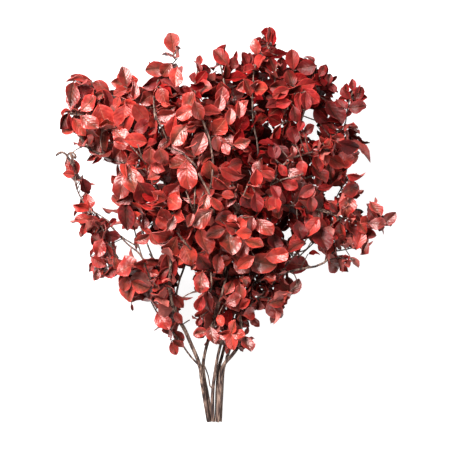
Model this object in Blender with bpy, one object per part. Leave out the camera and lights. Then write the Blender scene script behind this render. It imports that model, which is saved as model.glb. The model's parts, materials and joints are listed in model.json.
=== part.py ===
"""Bunch of preserved pittosporum: six cut branches that lie on a surface, each one solid with its leaves.

The origin is on the surface, under the middle of the bunch. +Y runs from the cut ends to the foliage tips,
+X to the right as seen from above, and +Z up. Sizes are in millimetres, and the meshes are in metres.
"""

import math
import random
from collections import namedtuple

import bpy
import numpy as np
from mathutils import Matrix, Vector
from mathutils.bvhtree import BVHTree

MM = 0.001
SEED = 20

# The whole bunch
BUNCH_LEFT, BUNCH_RIGHT = -236.0, 235.0
BUNCH_TOP = 276.0
MIDDLE_HEIGHT = 85.0
BUNCH_HEIGHT = 205.0

# Leaves
BLADE_THICKNESS = 0.8
WIDTH_SHARE = 0.64
SMALL_LEAF = 26.0
FLAT_FOLD = 0.13
EDGE_WAVES = 7.0
OTHER_EDGE_SHIFT = 1.7
TWIST_FROM = 0.2
ARCH_SHORTENING = 0.4

# Wood
TWIG_DIAMETER = 2.3
STALK_WIDTH = 1.5
LONGEST_STALK = 24.0
STEM_DIAMETER = 4.0
STEM_SIDES = 7
LIMB_SIDES = 4
TWIG_SIDES = 3
LIMB_TAPER = 0.8
TWIG_TAPER = 0.006

# Clearance between branches, and between the leaves of one branch
CLEARANCE = 0.35
LEAF_CLEARANCE = 0.1

# Where twigs join older wood: how far apart the places are, the lowest one, and what counts against a place
JOINING_STEP = 6.0
BARE_BELOW = -215.0
LEAST_LEAN, BACKWARD_COST, TURNING_COST = 0.4, 45.0, 16.0
STRAIGHT_TWIG = 24.0
BEND_PLACE, BEND_DEPTH = 0.58, 0.11
LOWEST_TWIG = 2.5

# How shoots rise with their height in the bunch, in degrees, and how far behind its leaves a twig ends
RISE_PER_MM = 0.45
STEEPEST_DOWN, STEEPEST_UP = -30.0, 34.0
SINGLE_REACH, CLUSTER_REACH = 0.5, 0.36

# How leaves stand on a shoot: lean from the twig in degrees, size, and distance between them along the twig
SINGLE_LEAN, TIP_LEAN, SIDE_LEAN = (2, 14), (22, 40), (48, 74)
LEAF_SIZES = (0.9, 1.08)
LEAF_STEPS = (3.5, 6.5)
FIRST_STEP = 0.9
SPIRAL_TURN = math.radians(137.5)
FACING_CENTRE = (0.0, 40.0, 70.0)
FACING_REACH = (400.0, 500.0, 50.0)
FACING_SCATTER = 0.42

# How a leaf that has no room is tried again, and what is refused
TWIG_TRIES, LEAF_TRIES = 40, 16
TURN_SPREAD, TURN_SPREAD_STEP = 0.12, 0.09
SHRINK_STEP = 0.012
ROOT_SHARE = 0.26
LEAST_STALK_LEAN = 0.35
LYING_BELOW, LYING_FACE, LOWEST_TIP = 2.0, 0.8, -6.0

# A leaf form: its width, its fold along the midrib, how far the tip bends down, its twist and its wave
Form = namedtuple("Form", "width fold arch twist wave phase")
FORMS = [
    Form(1.00, 0.16, 0.10, 0.0, 0.030, 0.0),
    Form(0.96, 0.34, -0.14, 0.2, 0.035, 1.2),
    Form(1.04, 0.20, 0.26, -0.2, 0.045, 2.1),
    Form(0.92, 0.24, 0.12, 0.8, 0.030, 0.6),
    Form(1.02, 0.10, 0.04, -0.3, 0.070, 2.8),
    Form(0.74, 0.75, 0.16, 0.1, 0.030, 1.9),
    Form(1.20, 0.12, -0.06, 0.0, 0.040, 0.9),
    Form(0.86, 0.42, 0.40, -0.6, 0.050, 2.4),
]

# The coarse blade: places along the leaf and across it, in shares of its length and of its half width
OUTLINE = [(0.0, 0.0), (0.34, 0.92), (0.76, 0.90), (1.0, 0.0), (0.76, -0.90), (0.34, -0.92)]
SPINE = (0.55, 0.0)

# Open places between the branches, seen from above: centre x, y and half sizes
OPEN_PLACES = [
    (73, 143, 14, 5), (117, 146, 11, 15), (-7, 30, 3, 9), (-54, -78, 8, 16), (-105, -31, 10, 10),
    (-172, 48, 13, 34), (85, -10, 4, 11), (100, -38, 6, 4), (155, 50, 6, 9), (-57, 198, 4, 16),
    (-25, 190, 4, 8), (12, -47, 4, 4), (-85, 222, 6, 12), (-55, -130, 7, 25),
]

# Each branch has limbs, as first and last diameter and a route. It has shoots, as the middle of their leaves
# x, y, z, the way they point in degrees as seen from above, how many leaves they carry, and the leaf length
BRANCHES = {
    "left_branch": {
        "colour": (0.50, 0.075, 0.045),
        "limbs": [
            (5.8, 2.4, [
                (-24, -275, 8.9), (-30, -240, 12), (-34, -215, 18), (-36, -198, 24), (-50, -162, 37),
                (-60, -140, 48), (-70, -126, 58), (-75, -108, 70), (-78, -75, 92), (-76, -50, 106),
                (-76, -12, 120), (-84, 20, 122), (-93, 48, 120), (-106, 78, 116), (-124, 118, 110),
                (-132, 145, 106), (-136, 165, 104), (-165, 183, 100), (-194, 193, 96),
            ]),
            (3.4, 1.8, [
                (-68, -129, 55), (-70, -108, 58), (-66, -80, 64), (-58, -57, 74), (-49, -24, 86),
                (-43, 8, 94), (-41, 48, 106), (-43, 80, 120), (-60, 101, 130), (-80, 111, 134),
                (-94, 138, 136), (-99, 165, 132), (-91, 206, 122), (-76, 221, 116), (-67, 231, 112),
            ]),
            (2.8, 1.8, [
                (-38, -194, 25), (-48, -184, 27), (-66, -159, 30), (-88, -131, 38), (-97, -119, 44),
                (-107, -99, 54),
            ]),
            (2.6, 1.6, [
                (-75, -106, 72), (-88, -101, 79), (-99, -80, 83), (-115, -73, 84), (-140, -66, 82),
                (-172, -59, 76),
            ]),
            (2.2, 1.6, [(-104, -78, 84), (-112, -54, 90), (-121, -27, 92), (-129, 5, 95), (-138, 38, 96)]),
            (2.0, 1.5, [(-120, -29, 92), (-148, -12, 87), (-165, 8, 82), (-183, 20, 78)]),
            (2.0, 1.5, [
                (-144, -65, 82), (-154, -38, 85), (-169, -7, 88), (-188, 22, 79), (-203, 42, 73),
                (-211, 66, 70),
            ]),
            (2.2, 1.5, [
                (-104, 75, 116), (-130, 84, 110), (-160, 93, 104), (-185, 105, 98), (-198, 120, 95),
                (-206, 150, 92),
            ]),
            (2.0, 1.5, [(-136, 158, 104), (-158, 156, 100), (-180, 153, 96), (-218, 157, 88)]),
            (1.7, 1.2, [(-192, 112, 97), (-208, 105, 94), (-217, 98, 92), (-226, 101, 90), (-235, 97, 86)]),
            (2.8, 1.7, [
                (-77, -90, 82), (-92, -66, 56), (-108, -30, 36), (-122, 10, 26), (-134, 55, 23),
                (-148, 100, 26), (-162, 142, 38),
            ]),
        ],
        "shoots": [
            (-74, 250, 112, 95, 2, 36), (-103, 214, 118, 165, 1, 30), (-70, 203, 124, 265, 1, 32),
            (-142, 206, 104, 95, 2, 26), (-172, 196, 98, 100, 2, 26), (-204, 202, 96, 170, 1, 34),
            (-215, 175, 92, 110, 1, 36), (-190, 166, 98, 60, 1, 30), (-225, 145, 88, 130, 1, 24),
            (-216, 131, 92, 215, 1, 22), (-166, 152, 112, 80, 2, 36), (-145, 148, 118, 70, 2, 34),
            (-182, 94, 98, 200, 2, 26), (-125, 112, 128, 150, 2, 34), (-92, 98, 142, 40, 2, 32),
            (-68, 127, 146, 40, 2, 34), (-108, 150, 134, 100, 2, 34), (-116, 175, 74, 110, 2, 30),
            (-136, 55, 116, 170, 2, 38), (-150, 50, 106, 200, 1, 34), (-145, 12, 104, 265, 2, 36),
            (-110, 70, 76, 120, 2, 36), (-100, 35, 138, 200, 3, 36), (-112, 2, 76, 190, 2, 32),
            (-75, 50, 148, 60, 2, 36), (-60, 22, 146, 20, 2, 34), (-212, 84, 70, 110, 1, 26),
            (-219, 71, 68, 190, 1, 19), (-194, 57, 74, 40, 1, 24), (-205, 27, 74, 185, 1, 24),
            (-205, 8, 78, 180, 1, 24), (-197, -7, 78, 240, 1, 20), (-178, -27, 84, 170, 2, 26),
            (-159, -35, 88, 250, 1, 26), (-175, -51, 78, 190, 1, 26), (-179, -68, 72, 230, 1, 22),
            (-130, -58, 92, 190, 2, 32), (-140, -86, 80, 255, 1, 38), (-115, -88, 82, 200, 2, 36),
            (-111, -14, 108, 180, 2, 28), (-72, -172, 28, 290, 1, 24), (-86, -139, 44, 240, 1, 30),
            (-64, -104, 64, 310, 1, 30), (-87, -56, 98, 215, 2, 38), (-52, -44, 112, 320, 2, 34),
            (-60, -14, 122, 200, 1, 34), (-88, 0, 134, 200, 2, 36), (-112, -48, 20, 240, 2, 30),
            (-134, 0, 2, 200, 1, 30), (-120, -14, 22, 240, 1, 30), (-148, 62, 10, 190, 2, 32),
            (-162, 112, 14, 150, 2, 30),
        ],
    },
    "inner_left_branch": {
        "colour": (0.52, 0.085, 0.05),
        "limbs": [
            (5.2, 2.2, [
                (-20.3, -275, 2.9), (-24, -250, 5), (-28, -228, 8), (-31, -210, 12), (-32, -196, 15),
                (-30, -180, 20), (-25, -160, 27), (-19, -137, 37), (-11, -108, 51), (-5, -85, 63),
                (-1, -55, 80), (-6, -10, 100), (-14, 12, 114), (-23, 42, 132), (-18, 76, 142),
                (-21, 112, 143), (-33, 147, 138), (-43, 185, 126), (-39, 214, 116), (-37, 224, 112),
            ]),
            (3.0, 1.8, [
                (-6, -88, 61), (-14, -77, 62), (-24, -62, 60), (-40, -35, 52), (-57, 0, 42),
                (-76, 38, 32), (-92, 80, 26), (-100, 122, 30),
            ]),
            (1.6, 1.2, [(-9, -99, 55), (-20, -94, 60), (-30, -92, 62), (-41, -90, 64), (-58, -98, 66)]),
        ],
        "shoots": [
            (-37, 228, 112, 90, 1, 16), (-38, 204, 124, 60, 3, 26), (-14, 214, 86, 70, 2, 28),
            (-45, 158, 150, 200, 3, 36), (-8, 171, 142, 85, 2, 30), (-35, 110, 158, 265, 1, 34),
            (-50, 76, 160, 250, 1, 40), (-11, 110, 154, 330, 1, 26), (-12, 136, 150, 60, 1, 32),
            (-62, 142, 92, 150, 2, 34), (-30, 58, 158, 200, 3, 36), (-40, 28, 152, 220, 2, 36),
            (-20, 2, 146, 250, 2, 36), (-35, -15, 90, 210, 2, 34), (-15, -35, 122, 240, 2, 34),
            (-36, -72, 96, 230, 2, 32), (-40, -42, 110, 210, 2, 32), (-27, -105, 72, 260, 1, 34),
            (-40, -131, 44, 170, 1, 19), (-36, -147, 40, 200, 1, 25), (-19, -155, 46, 240, 2, 26),
            (-60, 12, 22, 150, 2, 32), (-72, 62, 14, 40, 2, 34), (-108, 92, 2, 150, 1, 34),
            (-84, 128, 18, 60, 1, 34), (-32, -45, 30, 260, 2, 30),
        ],
    },
    "middle_branch": {
        "colour": (0.46, 0.055, 0.04),
        "limbs": [
            (4.6, 2.2, [
                (-18.2, -275, 8.0), (-19, -250, 10.5), (-18, -225, 13), (-15, -203, 17), (-11, -180, 22),
                (-6, -160, 28), (-2, -138, 36), (8, -90, 54), (13, -58, 67), (16, -28, 82), (18, 2, 98),
                (15, 22, 110), (4, 40, 116), (-1, 70, 116), (0, 105, 115), (5, 140, 114), (2, 175, 110),
                (-8, 224, 102),
            ]),
            (2.8, 1.5, [
                (15, 21, 109), (25, 46, 118), (41, 78, 129), (44, 105, 128), (37, 145, 122),
                (37, 185, 118), (42, 225, 112), (57, 242, 108), (63, 252, 106),
            ]),
            (2.8, 1.7, [
                (8, -91, 53), (5, -62, 55), (0, -25, 50), (-6, 15, 44), (-10, 60, 38), (-13, 110, 36),
                (-16, 160, 42),
            ]),
        ],
        "shoots": [
            (-10, 236, 104, 100, 2, 28), (13, 228, 106, 60, 1, 26), (0, 206, 72, 90, 1, 26),
            (28, 231, 112, 110, 1, 22), (25, 213, 80, 80, 1, 28), (57, 210, 78, 60, 2, 28),
            (40, 246, 110, 110, 1, 24), (54, 262, 106, 110, 2, 26), (66, 261, 104, 80, 1, 30),
            (71, 240, 106, 40, 1, 26), (20, 166, 140, 70, 1, 28), (22, 112, 152, 20, 2, 28),
            (8, 74, 165, 20, 3, 28), (42, 66, 158, 60, 1, 30), (60, 71, 148, 20, 2, 26),
            (25, 42, 160, 330, 2, 32), (40, 96, 150, 40, 1, 30), (40, 130, 92, 60, 2, 30),
            (12, 140, 144, 100, 1, 28), (50, 165, 84, 30, 2, 28), (30, 190, 130, 110, 1, 28),
            (15, 0, 138, 280, 2, 34), (10, -35, 92, 250, 2, 32), (32, -22, 128, 330, 3, 30),
            (8, -105, 72, 300, 2, 30), (4, -126, 50, 265, 1, 26), (9, -148, 50, 60, 4, 28),
            (18, -62, 102, 300, 1, 32), (-28, 50, 14, 200, 2, 32), (-32, 108, 2, 170, 1, 32),
            (2, 95, 14, 30, 1, 32), (-24, 170, 22, 100, 2, 30),
        ],
    },
    "upper_right_branch": {
        "colour": (0.36, 0.035, 0.035),
        "limbs": [
            (5.2, 1.8, [
                (-12.6, -275, 2.7), (-12.8, -250, 4), (-12, -225, 6), (-10, -200, 9), (-5, -180, 13),
                (0, -160, 18), (6, -138, 24), (14, -112, 33), (25, -82, 44), (38, -48, 56), (52, -10, 68),
                (66, 25, 80), (78, 60, 90), (88, 92, 98), (98, 125, 104), (107, 155, 106),
                (118, 182, 106), (130, 204, 104),
            ]),
            (2.4, 1.5, [
                (87, 90, 97), (110, 102, 98), (134, 114, 98), (151, 127, 98), (163, 138, 99),
                (167, 158, 100), (172, 180, 98),
            ]),
            (2.2, 1.5, [(77, 57, 89), (102, 64, 84), (130, 72, 80), (155, 82, 76), (172, 93, 72)]),
            (2.6, 1.5, [
                (66, 24, 79), (76, 50, 66), (82, 85, 54), (86, 120, 48), (86, 160, 48), (88, 200, 54),
                (94, 230, 60),
            ]),
            (2.2, 1.4, [(98, 124, 104), (86, 148, 114), (75, 172, 124), (67, 198, 126), (70, 222, 120)]),
        ],
        "shoots": [
            (92, 231, 64, 85, 2, 30), (88, 206, 124, 80, 2, 26), (112, 221, 76, 80, 1, 24),
            (120, 231, 98, 70, 1, 22), (136, 213, 104, 60, 1, 24), (146, 202, 100, 30, 1, 22),
            (147, 189, 98, 350, 1, 18), (76, 190, 132, 130, 3, 34), (109, 195, 78, 60, 2, 26),
            (120, 179, 114, 20, 2, 28), (97, 170, 116, 280, 1, 30), (165, 190, 98, 110, 1, 18),
            (179, 190, 98, 60, 1, 18), (186, 177, 96, 10, 1, 20), (164, 177, 98, 190, 1, 17),
            (183, 164, 94, 340, 1, 24), (177, 135, 96, 345, 1, 22), (155, 155, 100, 150, 2, 28),
            (188, 112, 96, 338, 1, 46), (178, 103, 86, 0, 2, 28), (171, 95, 76, 30, 1, 26),
            (112, 106, 110, 40, 1, 22), (125, 86, 98, 80, 1, 30), (148, 76, 88, 60, 1, 28),
            (88, 128, 78, 130, 2, 26), (66, 103, 122, 100, 1, 30), (103, 118, 112, 20, 1, 26),
            (70, 222, 120, 80, 1, 26), (85, 62, 70, 300, 2, 28), (72, 30, 96, 350, 1, 28),
            (58, -12, 84, 330, 2, 28), (42, -45, 72, 300, 1, 28), (108, 92, 22, 20, 1, 28),
            (72, 150, 18, 200, 1, 28), (106, 165, 24, 30, 2, 28), (78, 206, 30, 150, 2, 28),
            (140, 180, 78, 20, 2, 26),
        ],
    },
    "right_branch": {
        "colour": (0.40, 0.045, 0.04),
        "limbs": [
            (6.0, 1.6, [
                (-12.6, -275, 8.7), (-9, -240, 12), (-7.5, -215, 16), (-6, -202, 19), (-1, -191, 22),
                (8, -181, 25), (19, -164, 30), (21, -145, 37), (20, -115, 50), (24, -94, 60),
                (40, -79, 70), (64, -70, 80), (100, -60, 90), (135, -51, 92), (146, -38, 90),
                (153, -18, 85), (165, 0, 80), (195, 14, 74), (218, 13, 68),
            ]),
            (2.6, 1.7, [
                (21, -124, 46), (35, -110, 53), (48, -97, 60), (60, -84, 64), (74, -66, 68),
                (94, -42, 70), (114, -15, 70), (130, 8, 68), (150, 30, 64),
            ]),
            (1.9, 1.4, [(137, -50, 92), (156, -44, 89), (178, -46, 85)]),
            (1.9, 1.4, [(146, -37, 90), (168, -32, 86), (188, -26, 82)]),
            (3.2, 1.5, [
                (21, -108, 53), (26, -78, 68), (30, -42, 84), (36, 0, 106), (48, 32, 120), (66, 64, 130),
                (85, 90, 134), (105, 98, 133), (130, 104, 130), (152, 108, 124),
            ]),
            (2.4, 1.4, [
                (47, 30, 119), (74, 30, 118), (100, 27, 116), (120, 24, 114), (140, 18, 109),
                (165, 10, 100), (190, 5, 92), (222, 9, 80),
            ]),
        ],
        "shoots": [
            (178, 67, 90, 10, 1, 18), (175, 50, 94, 20, 2, 28), (165, 29, 102, 345, 2, 28),
            (205, 18, 86, 70, 1, 22), (208, 29, 82, 60, 1, 20), (226, 13, 72, 20, 2, 22),
            (216, -1, 76, 320, 1, 20), (190, -15, 80, 290, 2, 24), (193, -28, 80, 350, 1, 22),
            (157, -9, 90, 260, 2, 26), (132, -21, 98, 250, 2, 34), (157, -53, 86, 285, 1, 24),
            (180, -49, 84, 320, 1, 22), (98, -51, 94, 255, 2, 30), (121, -36, 96, 20, 1, 17),
            (90, -28, 100, 130, 2, 28), (54, -50, 98, 200, 3, 32), (70, -44, 100, 60, 1, 28),
            (70, -120, 56, 280, 2, 30), (50, -110, 54, 300, 2, 24), (42, -135, 44, 310, 1, 17),
            (28, -161, 34, 300, 2, 26), (66, 32, 150, 300, 2, 26), (90, 6, 92, 280, 2, 28),
            (116, 6, 118, 300, 1, 28), (140, 36, 88, 60, 2, 28), (110, 46, 124, 30, 1, 26),
            (130, 62, 96, 60, 2, 26), (92, 72, 140, 330, 1, 24), (50, 0, 130, 330, 1, 30),
            (70, -12, 112, 300, 2, 28), (110, -35, 60, 330, 1, 28), (150, 12, 58, 20, 2, 28),
            (88, -70, 68, 290, 1, 26),
        ],
    },
    "back_branch": {
        "colour": (0.30, 0.03, 0.035),
        "limbs": [
            (4.0, 1.7, [
                (-8.0, -275, 2.2), (-6.5, -250, 2.8), (-5, -225, 4), (-3, -200, 6), (3, -180, 9),
                (10, -160, 13), (20, -135, 18), (28, -105, 24), (31, -70, 30), (31, -30, 33),
                (34, 15, 34), (40, 60, 32), (46, 105, 31), (49, 150, 35), (47, 190, 43), (50, 216, 52),
            ]),
            (2.4, 1.5, [
                (27, -108, 23), (50, -86, 28), (80, -62, 32), (110, -35, 36), (140, -5, 40),
                (172, 42, 50),
            ]),
            (2.4, 1.5, [
                (34, 13, 34), (65, 34, 30), (98, 60, 28), (126, 88, 31), (150, 110, 38), (172, 128, 52),
            ]),
        ],
        "shoots": [
            (10, -177, 20, 20, 1, 24), (26, -142, 28, 330, 2, 24), (45, -78, 22, 300, 2, 28),
            (78, -84, 28, 310, 1, 26), (62, -45, 20, 60, 2, 28), (96, -35, 24, 320, 2, 28),
            (126, -14, 30, 330, 2, 28), (152, 14, 30, 350, 1, 28), (8, -50, 22, 170, 2, 30),
            (52, -8, 20, 330, 2, 30), (14, 22, 20, 170, 1, 30), (88, 30, 2, 330, 1, 30),
            (112, 56, 18, 330, 2, 28), (62, 66, 18, 20, 2, 30), (26, 72, 12, 160, 2, 30),
            (140, 88, 24, 340, 1, 26), (86, 108, 2, 330, 1, 30), (30, 122, 20, 150, 2, 30),
            (60, 142, 22, 20, 1, 28), (30, 165, 30, 150, 2, 28), (62, 190, 34, 40, 1, 28),
            (38, 212, 46, 120, 2, 26), (168, 60, 46, 30, 1, 26), (170, 118, 46, 20, 1, 26),
        ],
    },
}


# Geometry
def tube(points, radii, sides):
    """A closed tube along a route, its rings turned as little as possible from one to the next."""
    rings = []
    across = None
    for i, point in enumerate(points):
        ahead = points[min(i + 1, len(points) - 1)] - points[max(i - 1, 0)]
        ahead.normalize()
        if across is None:
            across = ahead.orthogonal().normalized()
        across = (across - ahead * across.dot(ahead)).normalized()
        up = ahead.cross(across)
        for k in range(sides):
            turn = 2 * math.pi * k / sides
            rings.append(point + (across * math.cos(turn) + up * math.sin(turn)) * radii[i])
    faces = []
    for i in range(len(points) - 1):
        for k in range(sides):
            a, b = i * sides + k, i * sides + (k + 1) % sides
            faces.append((a, b, b + sides, a + sides))
    last = (len(points) - 1) * sides
    faces.append(tuple(range(sides - 1, -1, -1)))
    faces.append(tuple(range(last, last + sides)))
    return rings, faces


def blade_place(form, u, v):
    """A place on a leaf's middle surface, u along it and v across it, in shares of its length."""
    across = 0.5 * WIDTH_SHARE * form.width * v
    up = form.fold * abs(across) - form.arch * u * u
    shift = form.phase + (OTHER_EDGE_SHIFT if v > 0 else 0.0)
    up += form.wave * math.sin(EDGE_WAVES * u + shift) * abs(v)
    turn = form.twist * (u - TWIST_FROM)
    along = u * (1 - ARCH_SHORTENING * form.arch * form.arch)
    return Vector((
        along,
        across * math.cos(turn) - up * math.sin(turn),
        across * math.sin(turn) + up * math.cos(turn),
    ))


def sheet_faces(rim, first, spined):
    """Triangles of a blade: a narrow root up to rim point number first, then the blade itself."""
    faces = [(0, 1, rim - 1)]
    if first == 2:
        faces += [(1, 2, rim - 2), (1, rim - 2, rim - 1)]
    last = rim - first
    if spined:
        return faces + [(rim, k, k + 1) for k in range(first, last)] + [(rim, last, first)]
    return faces + [(first, first + 1, last - 1), (first, last - 1, last), (first + 1, first + 2, last - 1)]


def blade(leaf, thickness, grown=0.0, start=0.0):
    """A closed blade, split alike on both faces and lifted wherever it would reach below the surface."""
    form = FORMS[leaf.form]
    places = [blade_place(form, max(u, start), v) for u, v in OUTLINE + [SPINE]]
    sheet = [leaf.base + leaf.axes @ (place * leaf.length) for place in places]
    first = 1
    if leaf.root and not start:
        side = leaf.axes.col[1] * (0.5 * STALK_WIDTH)
        sheet = [leaf.root, leaf.base + side] + sheet[1:-1] + [leaf.base - side, sheet[-1]]
        first = 2
    rim = len(sheet) - 1
    middle = sheet[-1]
    sheet = [point + (point - middle).normalized() * grown for point in sheet[:-1]] + [middle]
    spined = form.fold > FLAT_FOLD and leaf.length > SMALL_LEAF
    if not spined:
        sheet = sheet[:-1]
    offset = leaf.axes.col[2] * (0.5 * thickness)
    reach = 0.5 * BLADE_THICKNESS * abs(leaf.axes.col[2].z)
    sheet = [Vector((point.x, point.y, max(point.z, reach))) for point in sheet]
    count = len(sheet)
    upper = sheet_faces(rim, first, spined)
    solid = upper + [(a + count, c + count, b + count) for a, b, c in upper]
    for k in range(rim):
        after = (k + 1) % rim
        solid.append((after, k, k + count, after + count))
    return [point + offset for point in sheet] + [point - offset for point in sheet], solid


class Space:
    """The pieces placed so far, which nothing new may touch."""

    def __init__(self):
        self.owners = []
        self.trees = []
        self.boxes = np.zeros((0, 6))

    def add(self, owner, solid):
        points, faces = solid
        self.owners.append(owner)
        self.trees.append(BVHTree.FromPolygons(points, faces))
        box = np.array([tuple(point) for point in points])
        self.boxes = np.vstack([self.boxes, np.concatenate([box.min(axis=0), box.max(axis=0)])])

    def touches(self, solid, owner, own):
        """Whether a solid meets a piece of its own branch, or one of another branch."""
        points, faces = solid
        box = np.array([tuple(point) for point in points])
        low, high = box.min(axis=0), box.max(axis=0)
        near = np.all(self.boxes[:, :3] <= high, axis=1) & np.all(self.boxes[:, 3:] >= low, axis=1)
        tree = BVHTree.FromPolygons(points, faces)
        for k in np.flatnonzero(near):
            if (self.owners[k] == owner) == own and tree.overlap(self.trees[k]):
                return True
        return False


# Growth
Leaf = namedtuple("Leaf", "form root base axes length")


def heading_vector(degrees, z):
    """The way a shoot points: as given seen from above, and up or down with its height in the bunch."""
    rise = math.radians(max(STEEPEST_DOWN, min(STEEPEST_UP, (z - MIDDLE_HEIGHT) * RISE_PER_MM)))
    turn = math.radians(degrees)
    return Vector((math.cos(rise) * math.cos(turn), math.cos(rise) * math.sin(turn), math.sin(rise)))


def route_places(route, radii):
    """Places every few millimetres along a route, as point, direction and radius."""
    places = []
    for i in range(len(route) - 1):
        step = route[i + 1] - route[i]
        count = max(1, round(step.length / JOINING_STEP))
        for k in range(count):
            share = (k + 0.5) / count
            radius = radii[i] + (radii[i + 1] - radii[i]) * share
            places.append((route[i] + step * share, step.normalized(), radius))
    return places


def limb_radii(first, last, route):
    count = len(route) - 1
    return [0.5 * (first + (last - first) * (k / count) ** LIMB_TAPER) for k in range(count + 1)]


def joining_cost(place, tip, heading):
    """How unlikely a shoot to this tip is at this place: its length, and how sharply it would turn back."""
    way = tip - place[0]
    length = max(way.length, 0.1)
    lean = way.dot(place[1]) / length
    turning = 1 - way.dot(heading) / length
    return length + BACKWARD_COST * max(0.0, LEAST_LEAN - lean) + TURNING_COST * turning


def shoot_route(place, tip, heading, bulge):
    """A twig from a place on older wood to its tip, with one bend where it is long."""
    start = place[0]
    gap = (tip - start).length
    if gap < STRAIGHT_TWIG:
        return [start, tip]
    bend = start.lerp(tip, BEND_PLACE) + (place[1] - heading) * (BEND_DEPTH * gap) + bulge
    bend.z = max(bend.z, LOWEST_TWIG)
    return [start, bend, tip]


def outward(point):
    """The way a leaf's face looks at this place: out from the middle of the bunch."""
    offsets = [(point[k] - FACING_CENTRE[k]) / FACING_REACH[k] for k in range(3)]
    return Vector([max(-1.0, min(1.0, offset)) for offset in offsets])


def in_open_place(points):
    for x, y, half_x, half_y in OPEN_PLACES:
        for point in points:
            if ((point.x - x) / half_x) ** 2 + ((point.y - y) / half_y) ** 2 < 1:
                return True
    return False


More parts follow.
